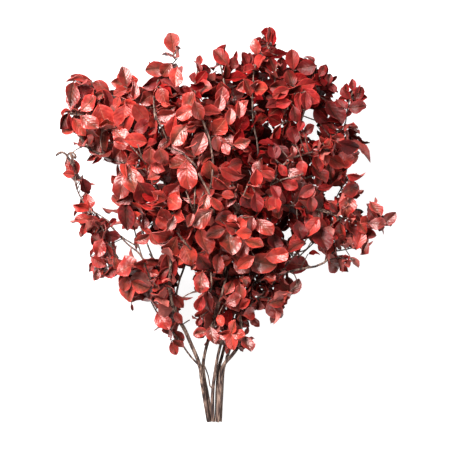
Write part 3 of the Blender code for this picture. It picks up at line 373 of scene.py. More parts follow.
# The shoots of each branch: the middle of their leaves x, y, z, the way they point in degrees as seen from
# above, how many leaves they carry, and the leaf length
SHOOTS = {
    "left_branch": [
        (-74, 250, 112, 95, 2, 36), (-103, 214, 118, 165, 1, 30), (-70, 203, 124, 265, 1, 32),
        (-142, 206, 104, 95, 2, 26), (-172, 196, 98, 100, 2, 26), (-204, 202, 96, 170, 1, 34),
        (-215, 175, 92, 110, 1, 36), (-190, 166, 98, 60, 1, 30), (-225, 145, 88, 130, 1, 24),
        (-216, 131, 92, 215, 1, 22), (-166, 152, 112, 80, 2, 36), (-145, 148, 118, 70, 2, 34),
        (-182, 94, 98, 200, 2, 26), (-125, 112, 128, 150, 2, 34), (-92, 98, 142, 40, 2, 32),
        (-68, 127, 146, 40, 2, 34), (-108, 150, 134, 100, 2, 34), (-116, 175, 74, 110, 2, 30),
        (-136, 55, 116, 170, 2, 38), (-150, 50, 106, 200, 1, 34), (-145, 12, 104, 265, 2, 36),
        (-110, 70, 76, 120, 2, 36), (-100, 35, 138, 200, 3, 36), (-112, 2, 76, 190, 2, 32),
        (-75, 50, 148, 60, 2, 36), (-60, 22, 146, 20, 2, 34), (-212, 84, 70, 110, 1, 26),
        (-219, 71, 68, 190, 1, 19), (-194, 57, 74, 40, 1, 24), (-205, 27, 74, 185, 1, 24),
        (-205, 8, 78, 180, 1, 24), (-197, -7, 78, 240, 1, 20), (-178, -27, 84, 170, 2, 26),
        (-159, -35, 88, 250, 1, 26), (-175, -51, 78, 190, 1, 26), (-179, -68, 72, 230, 1, 22),
        (-130, -58, 92, 190, 2, 32), (-140, -86, 80, 255, 1, 38), (-115, -88, 82, 200, 2, 36),
        (-111, -14, 108, 180, 2, 28), (-72, -172, 28, 290, 1, 24), (-86, -139, 44, 240, 1, 30),
        (-64, -104, 64, 310, 1, 30), (-87, -56, 98, 215, 2, 38), (-52, -44, 112, 320, 2, 34),
        (-60, -14, 122, 200, 1, 34), (-88, 0, 134, 200, 2, 36), (-112, -48, 20, 240, 2, 30),
        (-134, 0, 2, 200, 1, 30), (-120, -14, 22, 240, 1, 30), (-148, 62, 10, 190, 2, 32),
        (-162, 112, 14, 150, 2, 30),
    ],
    "inner_left_branch": [
        (-37, 228, 112, 90, 1, 16), (-38, 204, 124, 60, 3, 26), (-14, 214, 86, 70, 2, 28),
        (-45, 158, 150, 200, 3, 36), (-8, 171, 142, 85, 2, 30), (-35, 110, 158, 265, 1, 34),
        (-50, 76, 160, 250, 1, 40), (-11, 110, 154, 330, 1, 26), (-12, 136, 150, 60, 1, 32),
        (-62, 142, 92, 150, 2, 34), (-30, 58, 158, 200, 3, 36), (-40, 28, 152, 220, 2, 36),
        (-20, 2, 146, 250, 2, 36), (-35, -15, 90, 210, 2, 34), (-15, -35, 122, 240, 2, 34),
        (-36, -72, 96, 230, 2, 32), (-40, -42, 110, 210, 2, 32), (-27, -105, 72, 260, 1, 34),
        (-40, -131, 44, 170, 1, 19), (-36, -147, 40, 200, 1, 25), (-19, -155, 46, 240, 2, 26),
        (-60, 12, 22, 150, 2, 32), (-72, 62, 14, 40, 2, 34), (-108, 92, 2, 150, 1, 34),
        (-84, 128, 18, 60, 1, 34), (-32, -45, 30, 260, 2, 30),
    ],
    "middle_branch": [
        (-10, 236, 104, 100, 2, 28), (13, 228, 106, 60, 1, 26), (0, 206, 72, 90, 1, 26),
        (28, 231, 112, 110, 1, 22), (25, 213, 80, 80, 1, 28), (57, 210, 78, 60, 2, 28),
        (40, 246, 110, 110, 1, 24), (54, 262, 106, 110, 2, 26), (66, 261, 104, 80, 1, 30),
        (71, 240, 106, 40, 1, 26), (20, 166, 140, 70, 1, 28), (22, 112, 152, 20, 2, 28),
        (8, 74, 165, 20, 3, 28), (42, 66, 158, 60, 1, 30), (60, 71, 148, 20, 2, 26),
        (25, 42, 160, 330, 2, 32), (40, 96, 150, 40, 1, 30), (40, 130, 92, 60, 2, 30),
        (12, 140, 144, 100, 1, 28), (50, 165, 84, 30, 2, 28), (30, 190, 130, 110, 1, 28),
        (15, 0, 138, 280, 2, 34), (10, -35, 92, 250, 2, 32), (32, -22, 128, 330, 3, 30),
        (8, -105, 72, 300, 2, 30), (4, -126, 50, 265, 1, 26), (9, -148, 50, 60, 4, 28),
        (18, -62, 102, 300, 1, 32), (-28, 50, 14, 200, 2, 32), (-32, 108, 2, 170, 1, 32),
        (2, 95, 14, 30, 1, 32), (-24, 170, 22, 100, 2, 30),
    ],
    "upper_right_branch": [
        (92, 231, 64, 85, 2, 30), (88, 206, 124, 80, 2, 26), (112, 221, 76, 80, 1, 24),
        (120, 231, 98, 70, 1, 22), (136, 213, 104, 60, 1, 24), (146, 202, 100, 30, 1, 22),
        (147, 189, 98, 350, 1, 18), (76, 190, 132, 130, 3, 34), (109, 195, 78, 60, 2, 26),
        (120, 179, 114, 20, 2, 28), (97, 170, 116, 280, 1, 30), (165, 190, 98, 110, 1, 18),
        (179, 190, 98, 60, 1, 18), (186, 177, 96, 10, 1, 20), (164, 177, 98, 190, 1, 17),
        (183, 164, 94, 340, 1, 24), (177, 135, 96, 345, 1, 22), (155, 155, 100, 150, 2, 28),
        (188, 112, 96, 338, 1, 46), (178, 103, 86, 0, 2, 28), (171, 95, 76, 30, 1, 26),
        (112, 106, 110, 40, 1, 22), (125, 86, 98, 80, 1, 30), (148, 76, 88, 60, 1, 28),
        (88, 128, 78, 130, 2, 26), (66, 103, 122, 100, 1, 30), (103, 118, 112, 20, 1, 26),
        (70, 222, 120, 80, 1, 26), (85, 62, 70, 300, 2, 28), (72, 30, 96, 350, 1, 28),
        (58, -12, 84, 330, 2, 28), (42, -45, 72, 300, 1, 28), (108, 92, 22, 20, 1, 28),
        (72, 150, 18, 200, 1, 28), (106, 165, 24, 30, 2, 28), (78, 206, 30, 150, 2, 28),
        (140, 180, 78, 20, 2, 26),
    ],
    "right_branch": [
        (178, 67, 90, 10, 1, 18), (175, 50, 94, 20, 2, 28), (165, 29, 102, 345, 2, 28),
        (205, 18, 86, 70, 1, 22), (208, 29, 82, 60, 1, 20), (226, 13, 72, 20, 2, 22),
        (216, -1, 76, 320, 1, 20), (190, -15, 80, 290, 2, 24), (193, -28, 80, 350, 1, 22),
        (157, -9, 90, 260, 2, 26), (132, -21, 98, 250, 2, 34), (157, -53, 86, 285, 1, 24),
        (180, -49, 84, 320, 1, 22), (98, -51, 94, 255, 2, 30), (121, -36, 96, 20, 1, 17),
        (90, -28, 100, 130, 2, 28), (54, -50, 98, 200, 3, 32), (70, -44, 100, 60, 1, 28),
        (70, -120, 56, 280, 2, 30), (50, -110, 54, 300, 2, 24), (42, -135, 44, 310, 1, 17),
        (28, -161, 34, 300, 2, 26), (66, 32, 150, 300, 2, 26), (90, 6, 92, 280, 2, 28),
        (116, 6, 118, 300, 1, 28), (140, 36, 88, 60, 2, 28), (110, 46, 124, 30, 1, 26),
        (130, 62, 96, 60, 2, 26), (92, 72, 140, 330, 1, 24), (50, 0, 130, 330, 1, 30),
        (70, -12, 112, 300, 2, 28), (110, -35, 60, 330, 1, 28), (150, 12, 58, 20, 2, 28),
        (88, -70, 68, 290, 1, 26),
    ],
    "back_branch": [
        (10, -177, 20, 20, 1, 24), (26, -142, 28, 330, 2, 24), (45, -78, 22, 300, 2, 28),
        (78, -84, 28, 310, 1, 26), (62, -45, 20, 60, 2, 28), (96, -35, 24, 320, 2, 28),
        (126, -14, 30, 330, 2, 28), (152, 14, 30, 350, 1, 28), (8, -50, 22, 170, 2, 30),
        (52, -8, 20, 330, 2, 30), (14, 22, 20, 170, 1, 30), (88, 30, 2, 330, 1, 30),
        (112, 56, 18, 330, 2, 28), (62, 66, 18, 20, 2, 30), (26, 72, 12, 160, 2, 30),
        (140, 88, 24, 340, 1, 26), (86, 108, 2, 330, 1, 30), (30, 122, 20, 150, 2, 30),
        (60, 142, 22, 20, 1, 28), (30, 165, 30, 150, 2, 28), (62, 190, 34, 40, 1, 28),
        (38, 212, 46, 120, 2, 26), (168, 60, 46, 30, 1, 26), (170, 118, 46, 20, 1, 26),
    ],
}
print(sum(len(shoots) for shoots in SHOOTS.values()), "shoots on", len(LIMBS), "branches")


# %% Coarse tubes and blades, which keep room while the bunch grows
def tube(points, radii, sides):
    """A closed tube along a route, its rings turned as little as possible from one to the next."""
    rings = []
    across = None
    for i, point in enumerate(points):
        ahead = points[min(i + 1, len(points) - 1)] - points[max(i - 1, 0)]
        ahead.normalize()
        if across is None:
            across = ahead.orthogonal().normalized()
        across = (across - ahead * across.dot(ahead)).normalized()
        up = ahead.cross(across)
        for k in range(sides):
            turn = 2 * math.pi * k / sides
            rings.append(point + (across * math.cos(turn) + up * math.sin(turn)) * radii[i])
    faces = []
    for i in range(len(points) - 1):
        for k in range(sides):
            a, b = i * sides + k, i * sides + (k + 1) % sides
            faces.append((a, b, b + sides, a + sides))
    last = (len(points) - 1) * sides
    faces.append(tuple(range(sides - 1, -1, -1)))
    faces.append(tuple(range(last, last + sides)))
    return rings, faces


def blade_place(form, u, v):
    """A place on a leaf's middle surface, u along it and v across it, in shares of its length."""
    across = 0.5 * WIDTH_SHARE * form.width * v
    up = form.fold * abs(across) - form.arch * u * u
    shift = form.phase + (OTHER_EDGE_SHIFT if v > 0 else 0.0)
    up += form.wave * math.sin(EDGE_WAVES * u + shift) * abs(v)
    turn = form.twist * (u - TWIST_FROM)
    along = u * (1 - ARCH_SHORTENING * form.arch * form.arch)
    return Vector((
        along,
        across * math.cos(turn) - up * math.sin(turn),
        across * math.sin(turn) + up * math.cos(turn),
    ))


def sheet_faces(rim, first, spined):
    """Triangles of a blade: a narrow root up to rim point number first, then the blade itself."""
    faces = [(0, 1, rim - 1)]
    if first == 2:
        faces += [(1, 2, rim - 2), (1, rim - 2, rim - 1)]
    last = rim - first
    if spined:
        return faces + [(rim, k, k + 1) for k in range(first, last)] + [(rim, last, first)]
    return faces + [(first, first + 1, last - 1), (first, last - 1, last), (first + 1, first + 2, last - 1)]


def blade(leaf, thickness, grown=0.0, start=0.0):
    """A closed blade, split alike on both faces and lifted wherever it would reach below the surface."""
    form = FORMS[leaf.form]
    places = [blade_place(form, max(u, start), v) for u, v in OUTLINE + [SPINE]]
    sheet = [leaf.base + leaf.axes @ (place * leaf.length) for place in places]
    first = 1
    if leaf.root and not start:
        side = leaf.axes.col[1] * (0.5 * STALK_WIDTH)
        sheet = [leaf.root, leaf.base + side] + sheet[1:-1] + [leaf.base - side, sheet[-1]]
        first = 2
    rim = len(sheet) - 1
    middle = sheet[-1]
    sheet = [point + (point - middle).normalized() * grown for point in sheet[:-1]] + [middle]
    spined = form.fold > FLAT_FOLD and leaf.length > SMALL_LEAF
    if not spined:
        sheet = sheet[:-1]
    offset = leaf.axes.col[2] * (0.5 * thickness)
    reach = 0.5 * BLADE_THICKNESS * abs(leaf.axes.col[2].z)
    sheet = [Vector((point.x, point.y, max(point.z, reach))) for point in sheet]
    count = len(sheet)
    upper = sheet_faces(rim, first, spined)
    solid = upper + [(a + count, c + count, b + count) for a, b, c in upper]
    for k in range(rim):
        after = (k + 1) % rim
        solid.append((after, k, k + count, after + count))
    return [point + offset for point in sheet] + [point - offset for point in sheet], solid


# %% The space that is taken so far
class Space:
    """The pieces placed so far, which nothing new may touch."""

    def __init__(self):
        self.owners = []
        self.kinds = []
        self.trees = []
        self.boxes = np.zeros((0, 6))

    def add(self, owner, solid, kind="wood"):
        points, faces = solid
        self.owners.append(owner)
        self.kinds.append(kind)
        self.trees.append(BVHTree.FromPolygons(points, faces))
        box = np.array([tuple(point) for point in points])
        self.boxes = np.vstack([self.boxes, np.concatenate([box.min(axis=0), box.max(axis=0)])])

    def near(self, solid):
        """A solid as a tree, and the numbers of the pieces whose boxes its own box meets."""
        points, faces = solid
        box = np.array([tuple(point) for point in points])
        low, high = box.min(axis=0), box.max(axis=0)
        meets = np.all(self.boxes[:, :3] <= high, axis=1) & np.all(self.boxes[:, 3:] >= low, axis=1)
        return BVHTree.FromPolygons(points, faces), np.flatnonzero(meets)

    def touches(self, solid, owner, own):
        """Whether a solid meets a piece of its own branch, or one of another branch."""
        tree, near = self.near(solid)
        return any((self.owners[k] == owner) == own and tree.overlap(self.trees[k]) for k in near)

    def meets_leaf(self, solid):
        tree, near = self.near(solid)
        return any(self.kinds[k] == "leaf" and tree.overlap(self.trees[k]) for k in near)


# %% How shoots and leaves point
Leaf = namedtuple("Leaf", "form root base axes length")


def heading_vector(degrees, z):
    """The way a shoot points: as given seen from above, and up or down with its height in the bunch."""
    rise = math.radians(max(STEEPEST_DOWN, min(STEEPEST_UP, (z - MIDDLE_HEIGHT) * RISE_PER_MM)))
    turn = math.radians(degrees)
    return Vector((math.cos(rise) * math.cos(turn), math.cos(rise) * math.sin(turn), math.sin(rise)))


def route_places(route, radii):
    """Places every few millimetres along a route, as point, direction and radius."""
    places = []
    for i in range(len(route) - 1):
        step = route[i + 1] - route[i]
        count = max(1, round(step.length / JOINING_STEP))
        for k in range(count):
            share = (k + 0.5) / count
            radius = radii[i] + (radii[i + 1] - radii[i]) * share
            places.append((route[i] + step * share, step.normalized(), radius))
    return places


def limb_radii(first, last, route):
    count = len(route) - 1
    return [0.5 * (first + (last - first) * (k / count) ** LIMB_TAPER) for k in range(count + 1)]


def joining_cost(place, tip, heading):
    """How unlikely a shoot to this tip is at this place: its length, and how sharply it would turn back."""
    way = tip - place[0]
    length = max(way.length, 0.1)
    lean = way.dot(place[1]) / length
    turning = 1 - way.dot(heading) / length
    return length + BACKWARD_COST * max(0.0, LEAST_LEAN - lean) + TURNING_COST * turning


def shoot_route(place, tip, heading, bulge):
    """A twig from a place on older wood to its tip, with one bend where it is long."""
    start = place[0]
    gap = (tip - start).length
    if gap < STRAIGHT_TWIG:
        return [start, tip]
    bend = start.lerp(tip, BEND_PLACE) + (place[1] - heading) * (BEND_DEPTH * gap) + bulge
    bend.z = max(bend.z, LOWEST_TWIG)
    return [start, bend, tip]


def outward(point):
    """The way a leaf's face looks at this place: out from the middle of the bunch."""
    offsets = [(point[k] - FACING_CENTRE[k]) / FACING_REACH[k] for k in range(3)]
    return Vector([max(-1.0, min(1.0, offset)) for offset in offsets])


def in_open_place(points):
    for x, y, half_x, half_y in OPEN_PLACES:
        for point in points:
            if ((point.x - x) / half_x) ** 2 + ((point.y - y) / half_y) ** 2 < 1:
                return True
    return False


def set_out(ahead, flat, upright, turn, tilt):
    """The way a leaf points that leans from its twig by tilt, on the side of it that turn gives."""
    side = flat * math.cos(turn) + upright * math.sin(turn)
    return (ahead * math.cos(tilt) + side * math.sin(tilt)).normalized()


def leaf_axes(along, out):
    """Axes for a leaf that points along and faces out as nearly as it can."""
    out = (out - along * out.dot(along)).normalized()
    return Matrix((along, out.cross(along), out)).transposed()


def in_bounds(leaf, points, tallest):
    """Whether a leaf lies flat where it is low, and stays inside the box of the bunch."""
    tip = leaf.base + leaf.axes.col[0] * leaf.length
    if tip.z < LYING_BELOW and (abs(leaf.axes.col[2].z) < LYING_FACE or tip.z < LOWEST_TIP):
        return False
    if min(p.x for p in points) < BUNCH_LEFT or max(p.x for p in points) > BUNCH_RIGHT:
        return False
    return max(p.y for p in points) <= BUNCH_TOP and max(p.z for p in points) <= tallest


# %% One branch while it grows
class Branch:
    """One cut branch while it grows: its wood as tubes, the places where twigs can join, and its leaves."""

    def __init__(self, name, space):
        self.name = name
        self.space = space
        self.shoots = SHOOTS[name]
        self.wood = []
        self.places = []
        self.twigs = []
        self.singles = []
        self.leaves = []
        for first, last, points in LIMBS[name]:
            route = [Vector(point) for point in points]
            if self.places:
                route[0] = min(self.places, key=lambda place: (place[0] - route[0]).length)[0].copy()
            sides = STEM_SIDES if first > STEM_DIAMETER else LIMB_SIDES
            self.add_wood(route, limb_radii(first, last, route), sides)

    def add_wood(self, route, radii, sides):
        solid = tube(route, radii, sides)
        self.wood.append((route, radii))
        self.space.add(self.name, solid)
        self.places += [place for place in route_places(route, radii) if place[0].y > BARE_BELOW]

    def add_twig(self, rng, shoot):
        """A twig to one shoot's tip, bent clear of the other branches."""
        count, length = shoot[4], shoot[5]
        heading = heading_vector(shoot[3], shoot[2])
        tip = Vector(shoot[:3]) - heading * ((SINGLE_REACH if count == 1 else CLUSTER_REACH) * length)
        tip.z = max(tip.z, LOWEST_TWIG)
        ranked = sorted(self.places, key=lambda place: joining_cost(place, tip, heading))
        if count == 1 and (ranked[0][0] - tip).length < LONGEST_STALK:
            self.singles.append((shoot, tip, heading))
            return
        end_radius = 0.5 * TWIG_DIAMETER
        for attempt in range(TWIG_TRIES):
            place = ranked[(attempt // TRIES_AT_PLACE) * PLACE_STEP]
            bulge = Vector([rng.gauss(0, BULGE + attempt * BULGE_STEP) for _ in range(3)])
            route = shoot_route(place, tip, heading, bulge)
            grown = end_radius + TWIG_TAPER * (tip - place[0]).length
            first_radius = max(end_radius, min(place[2] * TWIG_SHARE, grown))
            radii = [first_radius, 0.5 * (first_radius + end_radius), end_radius][: len(route)]
            radii[-1] = end_radius
            wide = tube(route, [radius + CLEARANCE for radius in radii], TWIG_SIDES)
            if not self.space.touches(wide, self.name, own=False):
                self.add_wood(route, radii, TWIG_SIDES)
                self.twigs.append((shoot, route))
                return

    def add_single(self, rng, shoot, tip, heading):
        """A leaf on its own stalk, straight from older wood."""
        flat = Vector((0, 0, 1)).cross(heading).normalized()
        frame = (heading, flat, heading.cross(flat))
        ranked = sorted(self.places, key=lambda place: joining_cost(place, tip, heading))
        for place in ranked[SINGLE_PLACES]:
            stalk = tip - place[0]
            root = place[0] if stalk.length > STALKED_FROM else None
            base = tip if root else place[0]
            lean = math.radians(rng.uniform(*SINGLE_LEAN))
            if self.add_leaf(rng, root, base, frame, rng.uniform(0, ANY_TURN), lean, shoot[5]):
                return

    def add_leaves(self, rng, shoot, route):
        """The leaves of one shoot, in a spiral back from its tip, each turned until it is clear."""
        count, length = shoot[4], shoot[5]
        before, tip = route[-2], route[-1]
        ahead = (tip - before).normalized()
        flat = Vector((0, 0, 1)).cross(ahead).normalized()
        upright = ahead.cross(flat)
        back = FIRST_STEP
        azimuth = rng.uniform(0, 2 * math.pi) if count > 2 else rng.choice([PAIR_TURN, math.pi - PAIR_TURN])
        room = LEAFY_SHARE * (tip - before).length
        for k in range(count):
            leans = SINGLE_LEAN if count == 1 else (TIP_LEAN if k == 0 else SIDE_LEAN)
            lean = rng.uniform(*leans)
            size = length * rng.uniform(*LEAF_SIZES)
            base = tip - ahead * min(back, room)
            self.add_leaf(rng, None, base, (ahead, flat, upright), azimuth, math.radians(lean), size)
            back += rng.uniform(*LEAF_STEPS)
            azimuth += SPIRAL_TURN

    def add_leaf(self, rng, root, base, frame, azimuth, lean, size):
        """A leaf, turned and shrunk a little more at each try until it fits. False where it never does."""
        form = rng.randrange(len(FORMS))
        for attempt in range(LEAF_TRIES):
            spread = TURN_SPREAD + TURN_SPREAD_STEP * attempt
            turn = azimuth + rng.gauss(0, spread)
            tilt = lean + rng.gauss(0, 0.5 * spread)
            along = set_out(*frame, turn, tilt)
            out = outward(base) + Vector([rng.gauss(0, FACING_SCATTER) for _ in range(3)])
            leaf = Leaf(form, root, base.copy(), leaf_axes(along, out), size * (1 - SHRINK_STEP * attempt))
            if self.fits(leaf):
                self.leaves.append(leaf)
                self.space.add(self.name, blade(leaf, BLADE_THICKNESS), "leaf")
                return True
        return False

    def fits(self, leaf):
        if leaf.root and (leaf.base - leaf.root).normalized().dot(leaf.axes.col[0]) < LEAST_STALK_LEAN:
            return False
        points = blade(leaf, BLADE_THICKNESS)[0]
        if not in_bounds(leaf, points, BUNCH_HEIGHT) or in_open_place(points[1:]):
            return False
        wide = blade(leaf, BLADE_THICKNESS + 2 * CLEARANCE, grown=CLEARANCE)
        if self.space.touches(wide, self.name, own=False):
            return False
        outer = blade(leaf, BLADE_THICKNESS + 2 * LEAF_CLEARANCE, grown=LEAF_CLEARANCE, start=ROOT_SHARE)
        return not self.space.touches(outer, self.name, own=True)


# %% Grow the six branches
def grow(space):
    rng = random.Random(SEED)
    grown = [Branch(name, space) for name in LIMBS]
    for branch in grown:
        for shoot in branch.shoots:
            branch.add_twig(rng, shoot)
    for branch in grown:
        for shoot, tip, heading in branch.singles:
            branch.add_single(rng, shoot, tip, heading)
        for shoot, route in branch.twigs:
            branch.add_leaves(rng, shoot, route)
    return grown


space = Space()
branches = grow(space)
print(sum(len(branch.leaves) for branch in branches), "main leaves")

# %% [markdown]
# ## The rest of the leaves
# A real shoot carries many more leaves than the one to three of the solids. First come the leaves and twigs
# that lie in front, on places listed one by one. The others follow by rule: a whorl round each tip, short
# side shoots where the crown is still thin, and single leaves over the cells that stay bare. These are tested
# against everything that stands already. They stay inside the crown's outline and out of its open places,
# which were drawn from above. All of them take random streams of their own, so that they never move
# a main leaf.

# %% The outline of the crown as seen from above, clockwise from its far left tip
CROWN_OUTLINE = [
    (-233, 145), (-231, 156), (-222, 162), (-223, 180), (-214, 199), (-218, 212), (-204, 204), (-188, 206),
    (-184, 200), (-166, 202), (-162, 187), (-156, 192), (-158, 204), (-150, 216), (-140, 221), (-130, 214),
    (-128, 200), (-121, 203), (-118, 194), (-104, 200), (-112, 216), (-108, 229), (-82, 227), (-76, 222),
    (-66, 231), (-78, 247), (-88, 256), (-72, 267), (-62, 258), (-60, 240), (-65, 228), (-64, 212),
    (-70, 200), (-62, 193), (-60, 181), (-52, 184), (-51, 195), (-57, 199), (-46, 210), (-37, 213),
    (-41, 230), (-30, 230), (-31, 213), (-25, 211), (-22, 220), (-8, 212), (0, 214), (-2, 224), (-14, 228),
    (-18, 242), (-10, 246), (2, 238), (16, 234), (17, 222), (8, 212), (12, 202), (18, 212), (20, 232),
    (29, 238), (38, 230), (34, 245), (40, 266), (50, 262), (53, 275), (62, 276), (71, 266), (70, 250),
    (75, 240), (72, 228), (80, 222), (78, 208), (84, 215), (84, 232), (92, 246), (102, 234), (101, 226),
    (110, 229), (109, 238), (122, 230), (122, 218), (134, 222), (142, 216), (146, 203), (152, 190),
    (146, 182), (152, 175), (163, 172), (160, 186), (170, 192), (178, 200), (190, 188), (190, 175),
    (196, 166), (188, 155), (172, 156), (166, 166), (160, 160), (163, 136), (168, 130), (168, 144),
    (180, 143), (188, 130), (176, 124), (192, 122), (206, 112), (210, 104), (204, 103), (190, 111),
    (186, 100), (178, 98), (180, 88), (172, 76), (160, 72), (182, 66), (181, 58), (190, 50), (188, 40),
    (179, 40), (181, 28), (186, 24), (192, 32), (205, 34), (215, 20), (216, 13), (234, 20), (235, 8),
    (222, -6), (208, -8), (200, -12), (199, -22), (184, -39), (176, -32), (158, -30), (152, -40), (180, -42),
    (186, -52), (179, -60), (174, -50), (168, -62), (158, -65), (148, -56), (138, -50), (138, -40),
    (128, -34), (120, -16), (106, -18), (108, -30), (98, -40), (82, -38), (84, -44), (104, -44), (114, -54),
    (100, -64), (84, -66), (90, -78), (100, -73), (107, -82), (94, -100), (84, -102), (84, -118), (74, -132),
    (64, -138), (58, -126), (57, -112), (48, -118), (36, -124), (46, -132), (40, -140), (24, -132),
    (26, -150), (36, -158), (36, -170), (25, -178), (12, -170), (-2, -172), (-12, -168), (-30, -158),
    (-43, -156), (-44, -142), (-36, -138), (-45, -132), (-44, -122), (-36, -121), (-44, -110), (-38, -98),
    (-32, -92), (-46, -86), (-46, -62), (-44, -57), (-60, -57), (-66, -62), (-68, -86), (-72, -96),
    (-60, -102), (-57, -114), (-64, -119), (-59, -128), (-60, -136), (-70, -142), (-58, -158), (-62, -172),
    (-68, -182), (-80, -172), (-78, -158), (-94, -142), (-94, -124), (-98, -112), (-112, -106), (-120, -102),
    (-124, -120), (-132, -122), (-136, -106), (-146, -96), (-148, -76), (-152, -66), (-168, -74), (-184, -76),
    (-193, -62), (-189, -46), (-187, -16), (-190, -6), (-200, -14), (-211, 10), (-203, 18), (-214, 29),
    (-200, 40), (-207, 58), (-206, 66), (-214, 64), (-225, 74), (-220, 92), (-212, 95), (-200, 82),
    (-202, 70), (-190, 64), (-186, 44), (-184, 18), (-170, 16), (-164, 8), (-149, 12), (-158, 0), (-166, -7),
    (-146, -16), (-150, -26), (-148, -48), (-130, -44), (-90, -44), (-90, -30), (-104, -28), (-118, -26),
    (-126, -20), (-118, -12), (-112, -6), (-128, -2), (-134, -8), (-146, 4), (-150, 20), (-146, 34),
    (-158, 38), (-158, 56), (-146, 78), (-146, 85), (-160, 84), (-164, 96), (-184, 86), (-198, 92),
    (-188, 98), (-186, 108), (-200, 109), (-214, 116), (-200, 122), (-210, 126), (-222, 126), (-226, 132),
]
MORE_OPEN_PLACES = [
    (144, 42, 5, 8), (192, 19, 5, 6), (-106, 4, 7, 9), (-126, 18, 4, 6), (122, 124, 7, 5), (157, 130, 6, 4),
    (-33, -128, 6, 5), (-90, -114, 4, 4), (-122, 173, 5, 3), (-104, -60, 4, 5), (-173, -12, 5, 4),
    (-130, -113, 5, 6),
]
CELL = 1.6
GRID = 356


def cell_of(x, y):
    return int(x / CELL + GRID / 2), int(y / CELL + GRID / 2)


def cell_centres(low, high):
    return (np.arange(low, high) + 0.5 - GRID / 2) * CELL


def inside_of(corners, x, y):
    """Which of the places lie inside a closed line."""
    inside = np.zeros(x.shape, dtype=bool)
    for a, b in zip(corners, corners[1:] + corners[:1]):
        if abs(a[1] - b[1]) > 1e-6:
            crossing = (b[0] - a[0]) * (y - a[1]) / (b[1] - a[1]) + a[0]
            inside ^= ((a[1] > y) != (b[1] > y)) & (x < crossing)
    return inside


def crown_cells():
    """The cells of a fine grid that lie inside the crown's outline and outside its open places."""
    across, along = np.meshgrid(cell_centres(0, GRID), cell_centres(0, GRID), indexing="ij")
    cells = inside_of(CROWN_OUTLINE, across, along)
    for x, y, half_x, half_y in OPEN_PLACES + MORE_OPEN_PLACES:
        cells &= ((across - x) / half_x) ** 2 + ((along - y) / half_y) ** 2 > 1
    return cells


def in_crown(point):
    return crown[cell_of(point.x, point.y)]


crown = crown_cells()
print("the crown covers", round(crown.sum() * CELL * CELL / 100), "square centimetres")

# %% More forms of leaf, more curled and waved than the solids' blades
FORMS = FORMS + [
    Form(0.95, 0.45, 0.22, 0.3, 0.110, 0.4),
    Form(1.05, 0.40, -0.20, -0.5, 0.130, 1.7),
    Form(0.95, 0.60, 0.30, 0.7, 0.060, 2.6),
    Form(1.10, -0.25, 0.35, 0.2, 0.090, 0.9),
    Form(0.85, 0.85, -0.10, -0.9, 0.070, 2.0),
    Form(1.15, 0.35, 0.50, 0.0, 0.140, 1.1),
    Form(1.00, -0.35, -0.30, 0.6, 0.080, 3.0),
    Form(0.72, 0.70, 0.45, 1.1, 0.090, 0.2),
    Form(0.46, 0.50, 0.40, 0.2, 0.060, 1.3),
]
# Main leaves that are finished more curled or narrower than their coarse blade: x, y and form
RESHAPED = [(-72, 254, 10), (188, 112, 16), (-193, 57, 16)]
REACHES_OUT = 12
# The finished blade: places along the leaf, and its half width there
LEAF_ROWS = [
    (0.0, 0.04), (0.07, 0.08), (0.18, 0.48), (0.32, 0.83), (0.48, 0.99), (0.65, 0.98), (0.81, 0.77),
    (0.935, 0.41), (1.0, 0.03),
]
RIM_ROWS = LEAF_ROWS + [(u, -share) for u, share in reversed(LEAF_ROWS)]
RIMS = [[blade_place(form, u, v) for u, v in RIM_ROWS] for form in FORMS]

